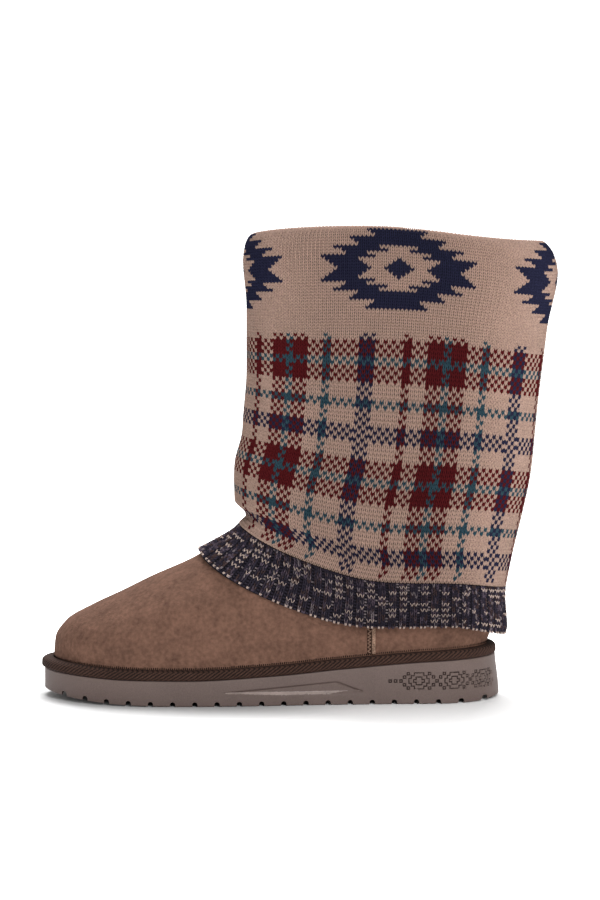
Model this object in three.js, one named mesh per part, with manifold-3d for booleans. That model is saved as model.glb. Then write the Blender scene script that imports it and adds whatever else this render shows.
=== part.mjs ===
// A left mukluk boot: a closed suede upper on a grooved sole, with a woven binding round the
// edge, a knitted sleeve turned over the collar and a ribbed band at the sleeve's hem.
// Millimetres. +X points to the toe, +Y to the wearer's left (the outer side), +Z up.
// The origin is on the floor, in the middle of the tread lug under the heel.
import * as THREE from "three";
import { mergeVertices } from "three/addons/utils/BufferGeometryUtils.js";
import Module from "manifold-3d";

const wasm = await Module();
wasm.setup();

// Overall sizes
const soleLength = 272;
const heelReach = 28.9;
const ballHalfWidth = 51;
const legHeight = 256;
const clearance = 0.3;

// Sole
const forefootThickness = 15;
const heelRise = 11.3;
const toeSpring = 4.6;
const heelBevel = 1.5;
const heelFlare = 2.4;
const heelFlareShare = 0.12;
const soleEdgeRound = 1.2;
const heelRound = 38;
const toeRound = 66;

// Tread
const groovePitch = 13.1;
const grooveWidth = 3.2;
const grooveDepth = 2.75;
const groovesAheadOfHeel = 18;
const groovesBehindHeel = 2;

// Wedge-shaped recess in each side of the sole
const recessDepth = 1.4;
const recessFloor = 8.2;
const recessTall = 5.6;
const recessBack = 52;
const recessPeak = 67;
const recessFront = 133;

// Walls and layers
const upperWall = 2.5;
const knitWall = 2.8;
const insoleThickness = 4;
const bindingHeight = 7.8;
const bindingOverhang = 0.7;

// Sleeve
const turnInDepth = 25;
const rollHeight = 6.4;
const hemStandoff = 4.2;
const slouch = 8;
const collarBulge = 2.8;

// Raised seam on each side
const seamAhead = 46.5;
const seamWidth = 5;
const seamRise = 1.2;
const seamLevels = [1.12, 2, 3, 4, 5, 5.75];

// How finely the bodies are made; the first point of a ring stands a hair past the toe, so
// that no point lies on the middle line
const pointsRound = 48;
const solePoints = 72;
const turnPastToe = 1e-4;
const mergeDistance = 1e-4;

// The sole from heel to toe. Along is a share of the sole's length; lateral and medial are
// shares of the ball's half width; rise is a share of the heel rise, lift and bottom are shares
// of the toe spring at the top and underneath, and bevel is a share of the heel bevel.
const soleSections = [
  { along: 0.0, lateral: 0.74, medial: 0.74, rise: 1.0, lift: 0.0, bottom: 0.0, bevel: 1 },
  { along: 0.08, lateral: 0.75, medial: 0.75, rise: 0.95, lift: 0.0, bottom: 0.0, bevel: 0 },
  { along: 0.15, lateral: 0.76, medial: 0.76, rise: 0.88, lift: 0.0, bottom: 0.0, bevel: 0 },
  { along: 0.34, lateral: 0.82, medial: 0.7, rise: 0.53, lift: 0.0, bottom: 0.0, bevel: 0 },
  { along: 0.48, lateral: 0.91, medial: 0.76, rise: 0.23, lift: 0.0, bottom: 0.0, bevel: 0 },
  { along: 0.68, lateral: 1.0, medial: 1.0, rise: 0.0, lift: 0.0, bottom: 0.0, bevel: 0 },
  { along: 0.82, lateral: 0.98, medial: 1.01, rise: 0.0, lift: 0.08, bottom: 0.15, bevel: 0 },
  { along: 0.9, lateral: 0.95, medial: 1.02, rise: 0.0, lift: 0.26, bottom: 0.43, bevel: 0 },
  { along: 1.0, lateral: 0.88, medial: 1.02, rise: 0.0, lift: 0.48, bottom: 1.0, bevel: 0 },
];

// The boot's outer skin from the sole to the collar, one row for each ring round the foot or
// leg. Front and back are shares of the sole's length from the heel end; frontUp and backUp
// are shares of the leg height above the sole's edge; width is a share of the ball's half
// width; oval turns the footprint's outline into an oval; sag lowers the ring's sides, as a
// share of the leg height, most at sagForward; follow is how far the ring copies the curve of
// the sole's edge.
const bindingUp = bindingHeight / legHeight;
const skinColumns = ["front", "frontUp", "back", "backUp", "width", "oval", "sag", "follow"];
const skinRows = [
  [0.977, 0, 0.02, 0, 0.908, 0, 0, 1],
  [0.979, bindingUp, 0.016, bindingUp, 0.927, 0, 0, 1],
  [0.975, 0.07, 0.0145, 0.0365, 0.932, 0, 0, 0.9],
  [0.951, 0.11, 0.013, 0.042, 0.928, 0, 0.008, 0.75],
  [0.889, 0.151, 0.0105, 0.048, 0.922, 0.05, 0.02, 0.55],
  [0.775, 0.212, 0.0065, 0.0545, 0.922, 0.15, 0.036, 0.35],
  [0.652, 0.275, 0.001, 0.06, 0.932, 0.35, 0.066, 0],
  [0.557, 0.335, -0.0115, 0.157, 0.951, 0.65, 0.043, 0],
  [0.535, 0.394, -0.027, 0.241, 0.953, 0.85, 0.031, 0],
  [0.547, 0.498, -0.048, 0.335, 0.945, 1, 0.02, 0],
  [0.546, 0.573, -0.065, 0.425, 0.945, 1, 0.01, 0],
  [0.537, 0.706, -0.079, 0.58, 0.951, 1, 0.004, 0],
  [0.537, 0.846, -0.0985, 0.756, 0.96, 1, 0, 0],
  [0.543, 0.994, -0.118, 0.938, 0.98, 1, -0.026, 0],
];

// Rows of the skin that a piece starts or ends at
const bindingTopRow = 1;
const hemRow = 6;
const bandTopRow = 7;
const slouchStartRow = 7.4;
const slouchFullRow = 8;
const slouchEndRow = 10;
const bulgeStartRow = 12;
const bulgeFullRow = 12.7;
const collarRow = skinRows.length - 1;

// Rows at which a ring is made, closer together where the skin bends
const footLevels = [0, 1, 2, 2.5, 3, 3.5, 4, 5];
const bandLevels = [hemRow, 6.25, 6.5, 6.75, bandTopRow];
const sleeveLevels = [7.2, 7.4, 7.7, 8, 8.5, 9, 10, 11, 12, bulgeFullRow, collarRow];

// How the sag of a ring's sides is spread: how sharply it gathers at the sides, and the share
// of the way forward from the back at which it is full
const sagGather = 1.5;
const sagForward = 0.6;

// Numbers and curves
const lerp = THREE.MathUtils.lerp;
const smoothstep = (value, low, high) => THREE.MathUtils.smoothstep(value, low, high);

// A smooth curve through a table's column that never swings past its points, so that a flat
// stretch of the table stays flat.
function curveThrough(table, key, place) {
  const xs = table.map(place);
  const ys = table.map((row) => row[key]);
  const slopes = xs.slice(1).map((x, i) => (ys[i + 1] - ys[i]) / (x - xs[i]));
  const tangents = ys.map((_, i) => {
    const before = slopes[Math.max(i - 1, 0)];
    const after = slopes[Math.min(i, slopes.length - 1)];
    return before * after <= 0 ? 0 : (2 * before * after) / (before + after);
  });
  return (x) => {
    const found = xs.findIndex((limit) => limit > x);
    const i = Math.max(0, (found < 0 ? xs.length - 1 : found) - 1);
    const step = xs[i + 1] - xs[i];
    const s = THREE.MathUtils.clamp((x - xs[i]) / step, 0, 1);
    const rise = ys[i + 1] - ys[i];
    const bend = tangents[i] * step * s * (1 - s) * (1 - s) - tangents[i + 1] * step * s * s * (1 - s);
    return ys[i] + rise * s * s * (3 - 2 * s) + bend;
  };
}

const soleCurve = {};
for (const key of ["lateral", "medial", "rise", "lift", "bottom", "bevel"]) {
  soleCurve[key] = curveThrough(soleSections, key, (row) => row.along);
}
const skinCurve = {};
skinColumns.forEach((name, column) => {
  skinCurve[name] = curveThrough(skinRows, column, (_, index) => index);
});

// The sole's heights over the floor at a place along X
const shareAlong = (x) => (x + heelReach) / soleLength;
const placeAlong = (share) => share * soleLength - heelReach;

function soleTopAt(x) {
  const along = shareAlong(x);
  return forefootThickness + heelRise * soleCurve.rise(along) + toeSpring * soleCurve.lift(along);
}

function soleBottomAt(x) {
  const along = shareAlong(x);
  return toeSpring * soleCurve.bottom(along) + heelBevel * soleCurve.bevel(along);
}

// How wide a rounded end is at a distance from its tip, as a share of the full width
function endRound(distance, radius) {
  const reach = 1 - THREE.MathUtils.clamp(distance / radius, 0, 1);
  return Math.sqrt(1 - reach * reach);
}

// A point of the footprint's outline between a back and a front end. Angle 0 is the toe, and
// a quarter turn is the outer side.
function outlinePoint(angle, back, front, halfWidth) {
  const x = lerp(back, front, 0.5 + 0.5 * Math.cos(angle));
  const along = shareAlong(x);
  const scale = (front - back) / soleLength;
  const ends = endRound(x - back, heelRound * scale) * endRound(front - x, toeRound * scale);
  const lateral = soleCurve.lateral(along) * halfWidth;
  const medial = soleCurve.medial(along) * halfWidth;
  const side = Math.sign(Math.sin(angle)) * (lateral + medial) * 0.5 * ends;
  return new THREE.Vector2(x, (lateral - medial) * 0.5 + side);
}

// A point of the sole's outline, grown outward by a distance
function grownOutline(angle, grow) {
  return outlinePoint(angle, -heelReach - grow, placeAlong(1) + grow, ballHalfWidth + grow);
}

// A point of the boot's outer skin at a row and an angle
function skinPoint(row, angle) {
  const back = placeAlong(skinCurve.back(row));
  const front = placeAlong(skinCurve.front(row));
  const forward = 0.5 + 0.5 * Math.cos(angle);
  const halfWidth = skinCurve.width(row) * ballHalfWidth;
  const foot = outlinePoint(angle, back, front, halfWidth);
  const y = lerp(foot.y, halfWidth * Math.sin(angle), skinCurve.oval(row));
  const chord = lerp(soleTopAt(back), soleTopAt(front), forward);
  const edge = lerp(chord, soleTopAt(foot.x), skinCurve.follow(row));
  const up = lerp(skinCurve.backUp(row), skinCurve.frontUp(row), forward);
  const toSide = Math.pow(Math.abs(Math.sin(angle)), sagGather);
  const sag = skinCurve.sag(row) * toSide * smoothstep(forward, 0, sagForward);
  return new THREE.Vector3(foot.x, y, edge + clearance + (up - sag) * legHeight);
}

// The skin's outward direction, from two short steps on it
function skinNormal(row, angle) {
  const step = 0.01;
  const low = Math.max(row - step, 0);
  const high = Math.min(row + step, collarRow);
  const round = skinPoint(row, angle + step).sub(skinPoint(row, angle - step));
  return round.cross(skinPoint(high, angle).sub(skinPoint(low, angle))).normalize();
}

// A ring of points at a distance from the skin; the distance may change with the angle
function skinRing(row, away, lift = 0) {
  return ringOf(pointsRound, (angle) => {
    const distance = typeof away === "function" ? away(row, angle) : away;
    const point = skinPoint(row, angle).addScaledVector(skinNormal(row, angle), distance);
    point.z += lift;
    return point;
  });
}

function ringOf(count, pointAt) {
  return Array.from({ length: count }, (_, i) => pointAt((i * 2 * Math.PI) / count + turnPastToe));
}

// A body from rings of points that run in a loop, the last ring joined to the first
function loopBody(rings) {
  return gridBody(rings, true);
}

// A body from rings stacked from bottom to top, with a strip of faces across each end
function stackBody(rings) {
  return gridBody(rings, false);
}

function gridBody(rings, closedAcross) {
  const count = rings[0].length;
  const corners = [];
  const quad = (a, b, c, d) => corners.push(a, b, c, a, c, d);
  const pairs = closedAcross ? rings.length : rings.length - 1;
  for (let j = 0; j < pairs; j += 1) {
    const low = rings[j];
    const high = rings[(j + 1) % rings.length];
    for (let i = 0; i < count; i += 1) {
      const next = (i + 1) % count;
      quad(low[i], low[next], high[next], high[i]);
    }
  }
  if (!closedAcross) {
    capAcross(rings[0], corners, true);
    capAcross(rings[rings.length - 1], corners, false);
  }
  return geometryOf(corners);
}

// A strip of faces between the two halves of a ring, which pair up across the boot
function capAcross(ring, corners, facesDown) {
  const count = ring.length;
  for (let i = 0; i < count / 2 - 1; i += 1) {
    const near = [ring[i], ring[i + 1]];
    const far = [ring[count - 1 - i], ring[count - 2 - i]];
    const faces = [near[0], near[1], far[1], near[0], far[1], far[0]];
    corners.push(...(facesDown ? faces.reverse() : faces));
  }
}

function geometryOf(corners) {
  const geometry = new THREE.BufferGeometry().setFromPoints(corners);
  return mergeVertices(geometry, mergeDistance);
}

// Joining and cutting
function toManifold(geometry) {
  const bare = geometry.clone();
  bare.deleteAttribute("normal");
  bare.deleteAttribute("uv");
  const merged = mergeVertices(bare, mergeDistance);
  return new wasm.Manifold(
    new wasm.Mesh({
      numProp: 3,
      vertProperties: new Float32Array(merged.attributes.position.array),
      triVerts: new Uint32Array(merged.index.array),
    }),
  );
}

function fromManifold(solid) {
  const mesh = solid.getMesh();
  const geometry = new THREE.BufferGeometry();
  geometry.setAttribute("position", new THREE.BufferAttribute(mesh.vertProperties, 3));
  geometry.setIndex(new THREE.BufferAttribute(mesh.triVerts, 1));
  return geometry;
}

// A flat outline in X and Z, made as deep in Y as the sole is wide
function acrossSole(outline, from, to) {
  const settings = { depth: to - from, bevelEnabled: false, curveSegments: 5 };
  const bar = new THREE.ExtrudeGeometry(outline, settings);
  bar.rotateX(Math.PI / 2);
  bar.translate(0, to, 0);
  return toManifold(bar);
}

// Outsole: a moulded unit with vertical sides, a flared heel, cross grooves and side recesses
function soleRing(grow, heightAt) {
  const halfStep = Math.PI / solePoints;
  return ringOf(solePoints, (angle) => {
    const edge = grownOutline(angle + halfStep, grow);
    return new THREE.Vector3(edge.x, edge.y, heightAt(edge.x));
  });
}

function soleBlock(grow) {
  const rings = [
    soleRing(grow - soleEdgeRound, soleBottomAt),
    soleRing(grow, (x) => soleBottomAt(x) + soleEdgeRound),
    soleRing(grow, soleTopAt),
  ];
  const flareEnd = placeAlong(heelFlareShare);
  for (const point of [...rings[0], ...rings[1]]) {
    point.x -= heelFlare * (1 - smoothstep(point.x, -heelReach, flareEnd));
  }
  return toManifold(stackBody(rings));
}

function grooveOutline(x) {
  const half = grooveWidth / 2;
  const top = soleBottomAt(x) + grooveDepth - half;
  const outline = new THREE.Shape();
  outline.moveTo(x + half, -toeSpring);
  outline.lineTo(x + half, top);
  outline.absarc(x, top, half, 0, Math.PI, false);
  outline.lineTo(x - half, -toeSpring);
  outline.closePath();
  return outline;
}

function makeOutsole() {
  const reach = ballHalfWidth * 1.5;
  let sole = soleBlock(0);
  const core = soleBlock(-recessDepth);
  const recess = new THREE.Shape([
    new THREE.Vector2(recessBack, recessFloor),
    new THREE.Vector2(recessFront, recessFloor),
    new THREE.Vector2(recessPeak, recessFloor + recessTall),
  ]);
  sole = sole.subtract(acrossSole(recess, -reach, reach).subtract(core));
  for (let i = -groovesBehindHeel; i < groovesAheadOfHeel; i += 1) {
    const groove = acrossSole(grooveOutline((i + 0.5) * groovePitch), -reach, reach);
    sole = sole.subtract(groove);
  }
  return fromManifold(sole);
}

// Binding: a woven tape with a rounded outside, between the upper's foot and the sole's edge
const bindingProfile = [
  { reach: 0.0, up: 0.0 },
  { reach: 0.8, up: 0.0 },
  { reach: 0.97, up: 0.16 },
  { reach: 1.0, up: 0.42 },
  { reach: 0.9, up: 0.7 },
  { reach: 0.62, up: 0.93 },
  { reach: 0.3, up: 1.0 },
  { reach: 0.0, up: 1.0 },
];

function makeBinding() {
  const rings = bindingProfile.map(({ reach, up }) =>
    ringOf(pointsRound, (angle) => {
      const wall = skinPoint(up * bindingTopRow, angle);
      wall.addScaledVector(skinNormal(up * bindingTopRow, angle), clearance);
      const edge = grownOutline(angle, bindingOverhang);
      const x = lerp(wall.x, edge.x, reach);
      const y = lerp(wall.y, edge.y, reach);
      return new THREE.Vector3(x, y, soleTopAt(x) + clearance + up * bindingHeight);
    }),
  );
  return loopBody(rings);
}

// Upper: one hollow wall from the sole's edge to the collar, open at both ends
function makeUpper() {
  const levels = [...footLevels, ...bandLevels, ...sleeveLevels];
  const outside = levels.map((row) => skinRing(row, 0));
  const inside = levels.map((row) => skinRing(row, -upperWall));
  return loopBody([...outside, ...inside.reverse()]);
}

// Insole: a pad inside the upper's wall, on top of the sole
function makeInsole() {
  const onSole = (lift) => {
    const ring = skinRing(0, -(upperWall + clearance));
    ring.forEach((point) => {
      point.z = soleTopAt(point.x) + clearance + lift;
    });
    return ring;
  };
  return stackBody([onSole(0), onSole(insoleThickness)]);
}

// A soft rise from low to middle and a soft fall from middle to high
function bumpBetween(value, low, middle, high) {
  return smoothstep(value, low, middle) * (1 - smoothstep(value, middle, high));
}

// Sleeve and band: the knit stands off the upper at the back of the hem, slouches in one soft
// fold over the front of the ankle, and bulges a little under its turned-over top
function knitInside(row, angle) {
  const toBack = 0.5 - 0.5 * Math.cos(angle);
  const hem = hemStandoff * toBack * toBack * (1 - smoothstep(row, hemRow, bandTopRow));
  const fold = bumpBetween(row, slouchStartRow, slouchFullRow, slouchEndRow);
  const turned = bumpBetween(row, bulgeStartRow, bulgeFullRow, collarRow);
  const atCollar = collarBulge * turned * lerp(0.4, 1, toBack);
  return clearance + hem + slouch * fold * Math.pow(1 - toBack, 3) + atCollar;
}

const knitOutside = (row, angle) => knitInside(row, angle) + knitWall;

function makeRibBand() {
  const outside = bandLevels.map((row) => skinRing(row, knitOutside));
  const inside = bandLevels.map((row) => skinRing(row, knitInside));
  return loopBody([...outside, ...inside.reverse()]);
}

function makeKnitSleeve() {
  const inner = upperWall + clearance;
  const middle = (clearance - inner) / 2;
  const halfRoll = knitWall + (clearance + inner) / 2;
  const rollSteps = 5;
  const roll = Array.from({ length: rollSteps - 1 }, (_, i) => {
    const turn = (Math.PI * (i + 1)) / rollSteps;
    return skinRing(collarRow, middle + halfRoll * Math.cos(turn), rollHeight * Math.sin(turn));
  });
  const lastRowHeight = skinPoint(collarRow, 0).z - skinPoint(collarRow - 1, 0).z;
  const turnInRow = collarRow - turnInDepth / lastRowHeight;
  const outside = sleeveLevels.map((row) => skinRing(row, knitOutside));
  const inside = sleeveLevels.map((row) => skinRing(row, knitInside));
  return loopBody([
    skinRing(bandTopRow, knitOutside, clearance),
    ...outside,
    ...roll,
    skinRing(collarRow, -inner - knitWall),
    skinRing(turnInRow, -inner - knitWall),
    skinRing(turnInRow, -inner),
    skinRing(collarRow, -inner, clearance),
    skinRing(collarRow, clearance, clearance),
    ...inside.reverse().slice(1),
    skinRing(bandTopRow, knitInside, clearance),
  ]);
}

// Side seam: a raised strip on the upper, from the binding up to the band's hem
function makeSideSeam(side) {
  const edges = [seamAhead - seamWidth / 2, seamAhead, seamAhead + seamWidth / 2];
  const angleAt = (row, x) => {
    const back = placeAlong(skinCurve.back(row));
    const front = placeAlong(skinCurve.front(row));
    return side * Math.acos((2 * (x - back)) / (front - back) - 1);
  };
  const strip = (away) =>
    seamLevels.map((row) =>
      edges.map((x) => {
        const angle = angleAt(row, x);
        return skinPoint(row, angle).addScaledVector(skinNormal(row, angle), away);
      }),
    );
  const near = strip(clearance);
  const far = strip(clearance + seamRise);
  const rings = near.map((inner, j) => {
    const outer = far[j];
    return side > 0 ? [...outer.reverse(), ...inner] : [...inner.reverse(), ...outer];
  });
  return stripBody(rings);
}

// A body from short closed rings stacked along a strip, with a fan across each end
function stripBody(rings) {
  const corners = [];
  const count = rings[0].length;
  for (let j = 0; j + 1 < rings.length; j += 1) {
    for (let i = 0; i < count; i += 1) {
      const next = (i + 1) % count;
      corners.push(rings[j][i], rings[j][next], rings[j + 1][next]);
      corners.push(rings[j][i], rings[j + 1][next], rings[j + 1][i]);
    }
  }
  capAcross(rings[0], corners, true);
  capAcross(rings[rings.length - 1], corners, false);
  return geometryOf(corners);
}

// Finishes and assembly
const finishes = {
  foam: { color: 0x8f7f76, roughness: 0.75, metalness: 0 },
  tape: { color: 0x3b2922, roughness: 0.9, metalness: 0 },
  suede: { color: 0x8a6c5c, roughness: 0.95, metalness: 0 },
  fleece: { color: 0xb9a08c, roughness: 1, metalness: 0 },
  knit: { color: 0x9c7f70, roughness: 1, metalness: 0 },
  rib: { color: 0x3a3237, roughness: 1, metalness: 0 },
};

const boot = new THREE.Group();

function addPiece(name, geometry, finish) {
  const mesh = new THREE.Mesh(geometry, new THREE.MeshStandardMaterial(finishes[finish]));
  mesh.name = name;
  boot.add(mesh);
}

addPiece("outsole", makeOutsole(), "foam");
addPiece("binding", makeBinding(), "tape");
addPiece("insole", makeInsole(), "fleece");
addPiece("upper", makeUpper(), "suede");
addPiece("side_seam_lateral", makeSideSeam(1), "suede");
addPiece("side_seam_medial", makeSideSeam(-1), "suede");
addPiece("knit_sleeve", makeKnitSleeve(), "knit");
addPiece("rib_band", makeRibBand(), "rib");

export default boot;
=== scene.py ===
"""Looks of a left mukluk boot: a bound foam sole, a suede upper and a patterned knitted sleeve.

Lengths in the classes are millimetres in the boot's own frame: +X to the toe, +Y to the outer
side, +Z up, from the floor under the heel. Meshes are written in metres.
"""

import logging
import math
from dataclasses import dataclass, field, replace
from enum import Enum
from typing import Optional, Sequence

import bpy
import numpy as np
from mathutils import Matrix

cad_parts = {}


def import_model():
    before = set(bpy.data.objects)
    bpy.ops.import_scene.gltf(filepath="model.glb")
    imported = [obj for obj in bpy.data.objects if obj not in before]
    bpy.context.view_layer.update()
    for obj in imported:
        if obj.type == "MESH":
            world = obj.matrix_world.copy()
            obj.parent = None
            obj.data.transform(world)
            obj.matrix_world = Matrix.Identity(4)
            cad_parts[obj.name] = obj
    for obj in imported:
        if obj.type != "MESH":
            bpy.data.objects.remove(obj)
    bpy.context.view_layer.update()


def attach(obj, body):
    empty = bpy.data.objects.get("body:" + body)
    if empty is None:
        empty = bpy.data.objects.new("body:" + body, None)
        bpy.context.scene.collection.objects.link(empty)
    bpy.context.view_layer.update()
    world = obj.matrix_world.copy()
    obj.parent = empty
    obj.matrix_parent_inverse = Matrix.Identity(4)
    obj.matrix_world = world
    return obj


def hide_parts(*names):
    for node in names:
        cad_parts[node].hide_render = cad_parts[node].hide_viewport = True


log = logging.getLogger("boot")
METRE = 0.001
BODY = "root"
Array = np.ndarray


# Numbers and curves


def blend(low: Array, high: Array, share: Array) -> Array:
    """Returns the value at a share of the way from low to high."""
    return low + (high - low) * share


def ease(value: Array, low: float, high: float) -> Array:
    """Returns a soft step from 0 at low to 1 at high."""
    share = np.clip((np.asarray(value, float) - low) / (high - low), 0.0, 1.0)
    return share * share * (3.0 - 2.0 * share)


def turns_round(count: int) -> Array:
    """Returns even angles over one whole turn."""
    return np.arange(count) * 2.0 * math.pi / count


def running_length(steps: Array) -> Array:
    """Returns the length of a line at each of its points, from the lengths of its steps."""
    return np.concatenate([[0.0], np.cumsum(steps)])


def rounding(gap: Array, radius: float) -> Array:
    """Returns how far a rounded edge draws in at a gap from its corner."""
    return radius - np.sqrt(np.clip(radius**2 - np.clip(radius - gap, 0.0, radius) ** 2, 0.0, None))


def bump_between(value: Array, low: float, middle: float, high: float) -> Array:
    """Returns a soft rise from low to middle and a soft fall to high."""
    return ease(value, low, middle) * (1.0 - ease(value, middle, high))


class SmoothColumn:
    """A smooth curve through the points of a table's column, with no swing past them."""

    def __init__(self, places: Sequence[float], values: Sequence[float]) -> None:
        """Prepares the slopes.

        Args:
            places: where the points stand, rising.
            values: the column's values there.
        """
        self.places = np.asarray(places, float)
        self.values = np.asarray(values, float)
        slopes = np.diff(self.values) / np.diff(self.places)
        before = np.concatenate([slopes[:1], slopes])
        after = np.concatenate([slopes, slopes[-1:]])
        total = np.where(before * after > 0.0, before + after, 1.0)
        self.tangents = np.where(before * after > 0.0, 2.0 * before * after / total, 0.0)

    def __call__(self, place: Array) -> Array:
        """Returns the curve's value at one or many places."""
        place = np.asarray(place, float)
        index = np.clip(np.searchsorted(self.places, place, side="right") - 1, 0, len(self.places) - 2)
        step = self.places[index + 1] - self.places[index]
        share = np.clip((place - self.places[index]) / step, 0.0, 1.0)
        rise = self.values[index + 1] - self.values[index]
        bend = self.tangents[index] * step * share * (1 - share) ** 2
        bend = bend - self.tangents[index + 1] * step * share**2 * (1 - share)
        return self.values[index] + rise * share**2 * (3 - 2 * share) + bend


# The boot's form, with the same sizes as the solids


@dataclass(frozen=True)
class SoleSection:
    """The sole at one place along its length, in shares of the sole's named sizes."""

    along: float
    lateral: float
    medial: float
    rise: float
    lift: float
    bottom: float
    bevel: float


@dataclass(frozen=True)
class SkinRow:
    """One ring of the boot's outer skin, in shares of the sole's length and the leg's height."""

    front: float
    front_up: float
    back: float
    back_up: float
    width: float
    oval: float
    sag: float
    follow: float


SOLE_SECTIONS = (
    SoleSection(along=0.0, lateral=0.74, medial=0.74, rise=1.0, lift=0.0, bottom=0.0, bevel=1),
    SoleSection(along=0.08, lateral=0.75, medial=0.75, rise=0.95, lift=0.0, bottom=0.0, bevel=0),
    SoleSection(along=0.15, lateral=0.76, medial=0.76, rise=0.88, lift=0.0, bottom=0.0, bevel=0),
    SoleSection(along=0.34, lateral=0.82, medial=0.7, rise=0.53, lift=0.0, bottom=0.0, bevel=0),
    SoleSection(along=0.48, lateral=0.91, medial=0.76, rise=0.23, lift=0.0, bottom=0.0, bevel=0),
    SoleSection(along=0.68, lateral=1.0, medial=1.0, rise=0.0, lift=0.0, bottom=0.0, bevel=0),
    SoleSection(along=0.82, lateral=0.98, medial=1.01, rise=0.0, lift=0.08, bottom=0.15, bevel=0),
    SoleSection(along=0.9, lateral=0.95, medial=1.02, rise=0.0, lift=0.26, bottom=0.43, bevel=0),
    SoleSection(along=1.0, lateral=0.88, medial=1.02, rise=0.0, lift=0.48, bottom=1.0, bevel=0),
)

BINDING_UP = 7.8 / 256.0

SKIN_ROWS = (
    SkinRow(0.977, 0.0, 0.02, 0.0, width=0.908, oval=0.0, sag=0.0, follow=1),
    SkinRow(0.979, BINDING_UP, 0.016, BINDING_UP, width=0.927, oval=0.0, sag=0.0, follow=1),
    SkinRow(0.975, 0.07, 0.0145, 0.0365, width=0.932, oval=0.0, sag=0.0, follow=0.9),
    SkinRow(0.951, 0.11, 0.013, 0.042, width=0.928, oval=0.0, sag=0.008, follow=0.75),
    SkinRow(0.889, 0.151, 0.0105, 0.048, width=0.922, oval=0.05, sag=0.02, follow=0.55),
    SkinRow(0.775, 0.212, 0.0065, 0.0545, width=0.922, oval=0.15, sag=0.036, follow=0.35),
    SkinRow(0.652, 0.275, 0.001, 0.06, width=0.932, oval=0.35, sag=0.066, follow=0),
    SkinRow(0.557, 0.335, -0.0115, 0.157, width=0.951, oval=0.65, sag=0.043, follow=0),
    SkinRow(0.535, 0.394, -0.027, 0.241, width=0.953, oval=0.85, sag=0.031, follow=0),
    SkinRow(0.547, 0.498, -0.048, 0.335, width=0.945, oval=1, sag=0.02, follow=0),
    SkinRow(0.546, 0.573, -0.065, 0.425, width=0.945, oval=1, sag=0.01, follow=0),
    SkinRow(0.537, 0.706, -0.079, 0.58, width=0.951, oval=1, sag=0.004, follow=0),
    SkinRow(0.537, 0.846, -0.0985, 0.756, width=0.96, oval=1, sag=0.0, follow=0),
    SkinRow(0.543, 0.994, -0.118, 0.938, width=0.98, oval=1, sag=-0.026, follow=0),
)

BINDING_TOP_ROW = 0.77
HEM_ROW = 6
BAND_TOP_ROW = 7
COLLAR_ROW = len(SKIN_ROWS) - 1


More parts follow.
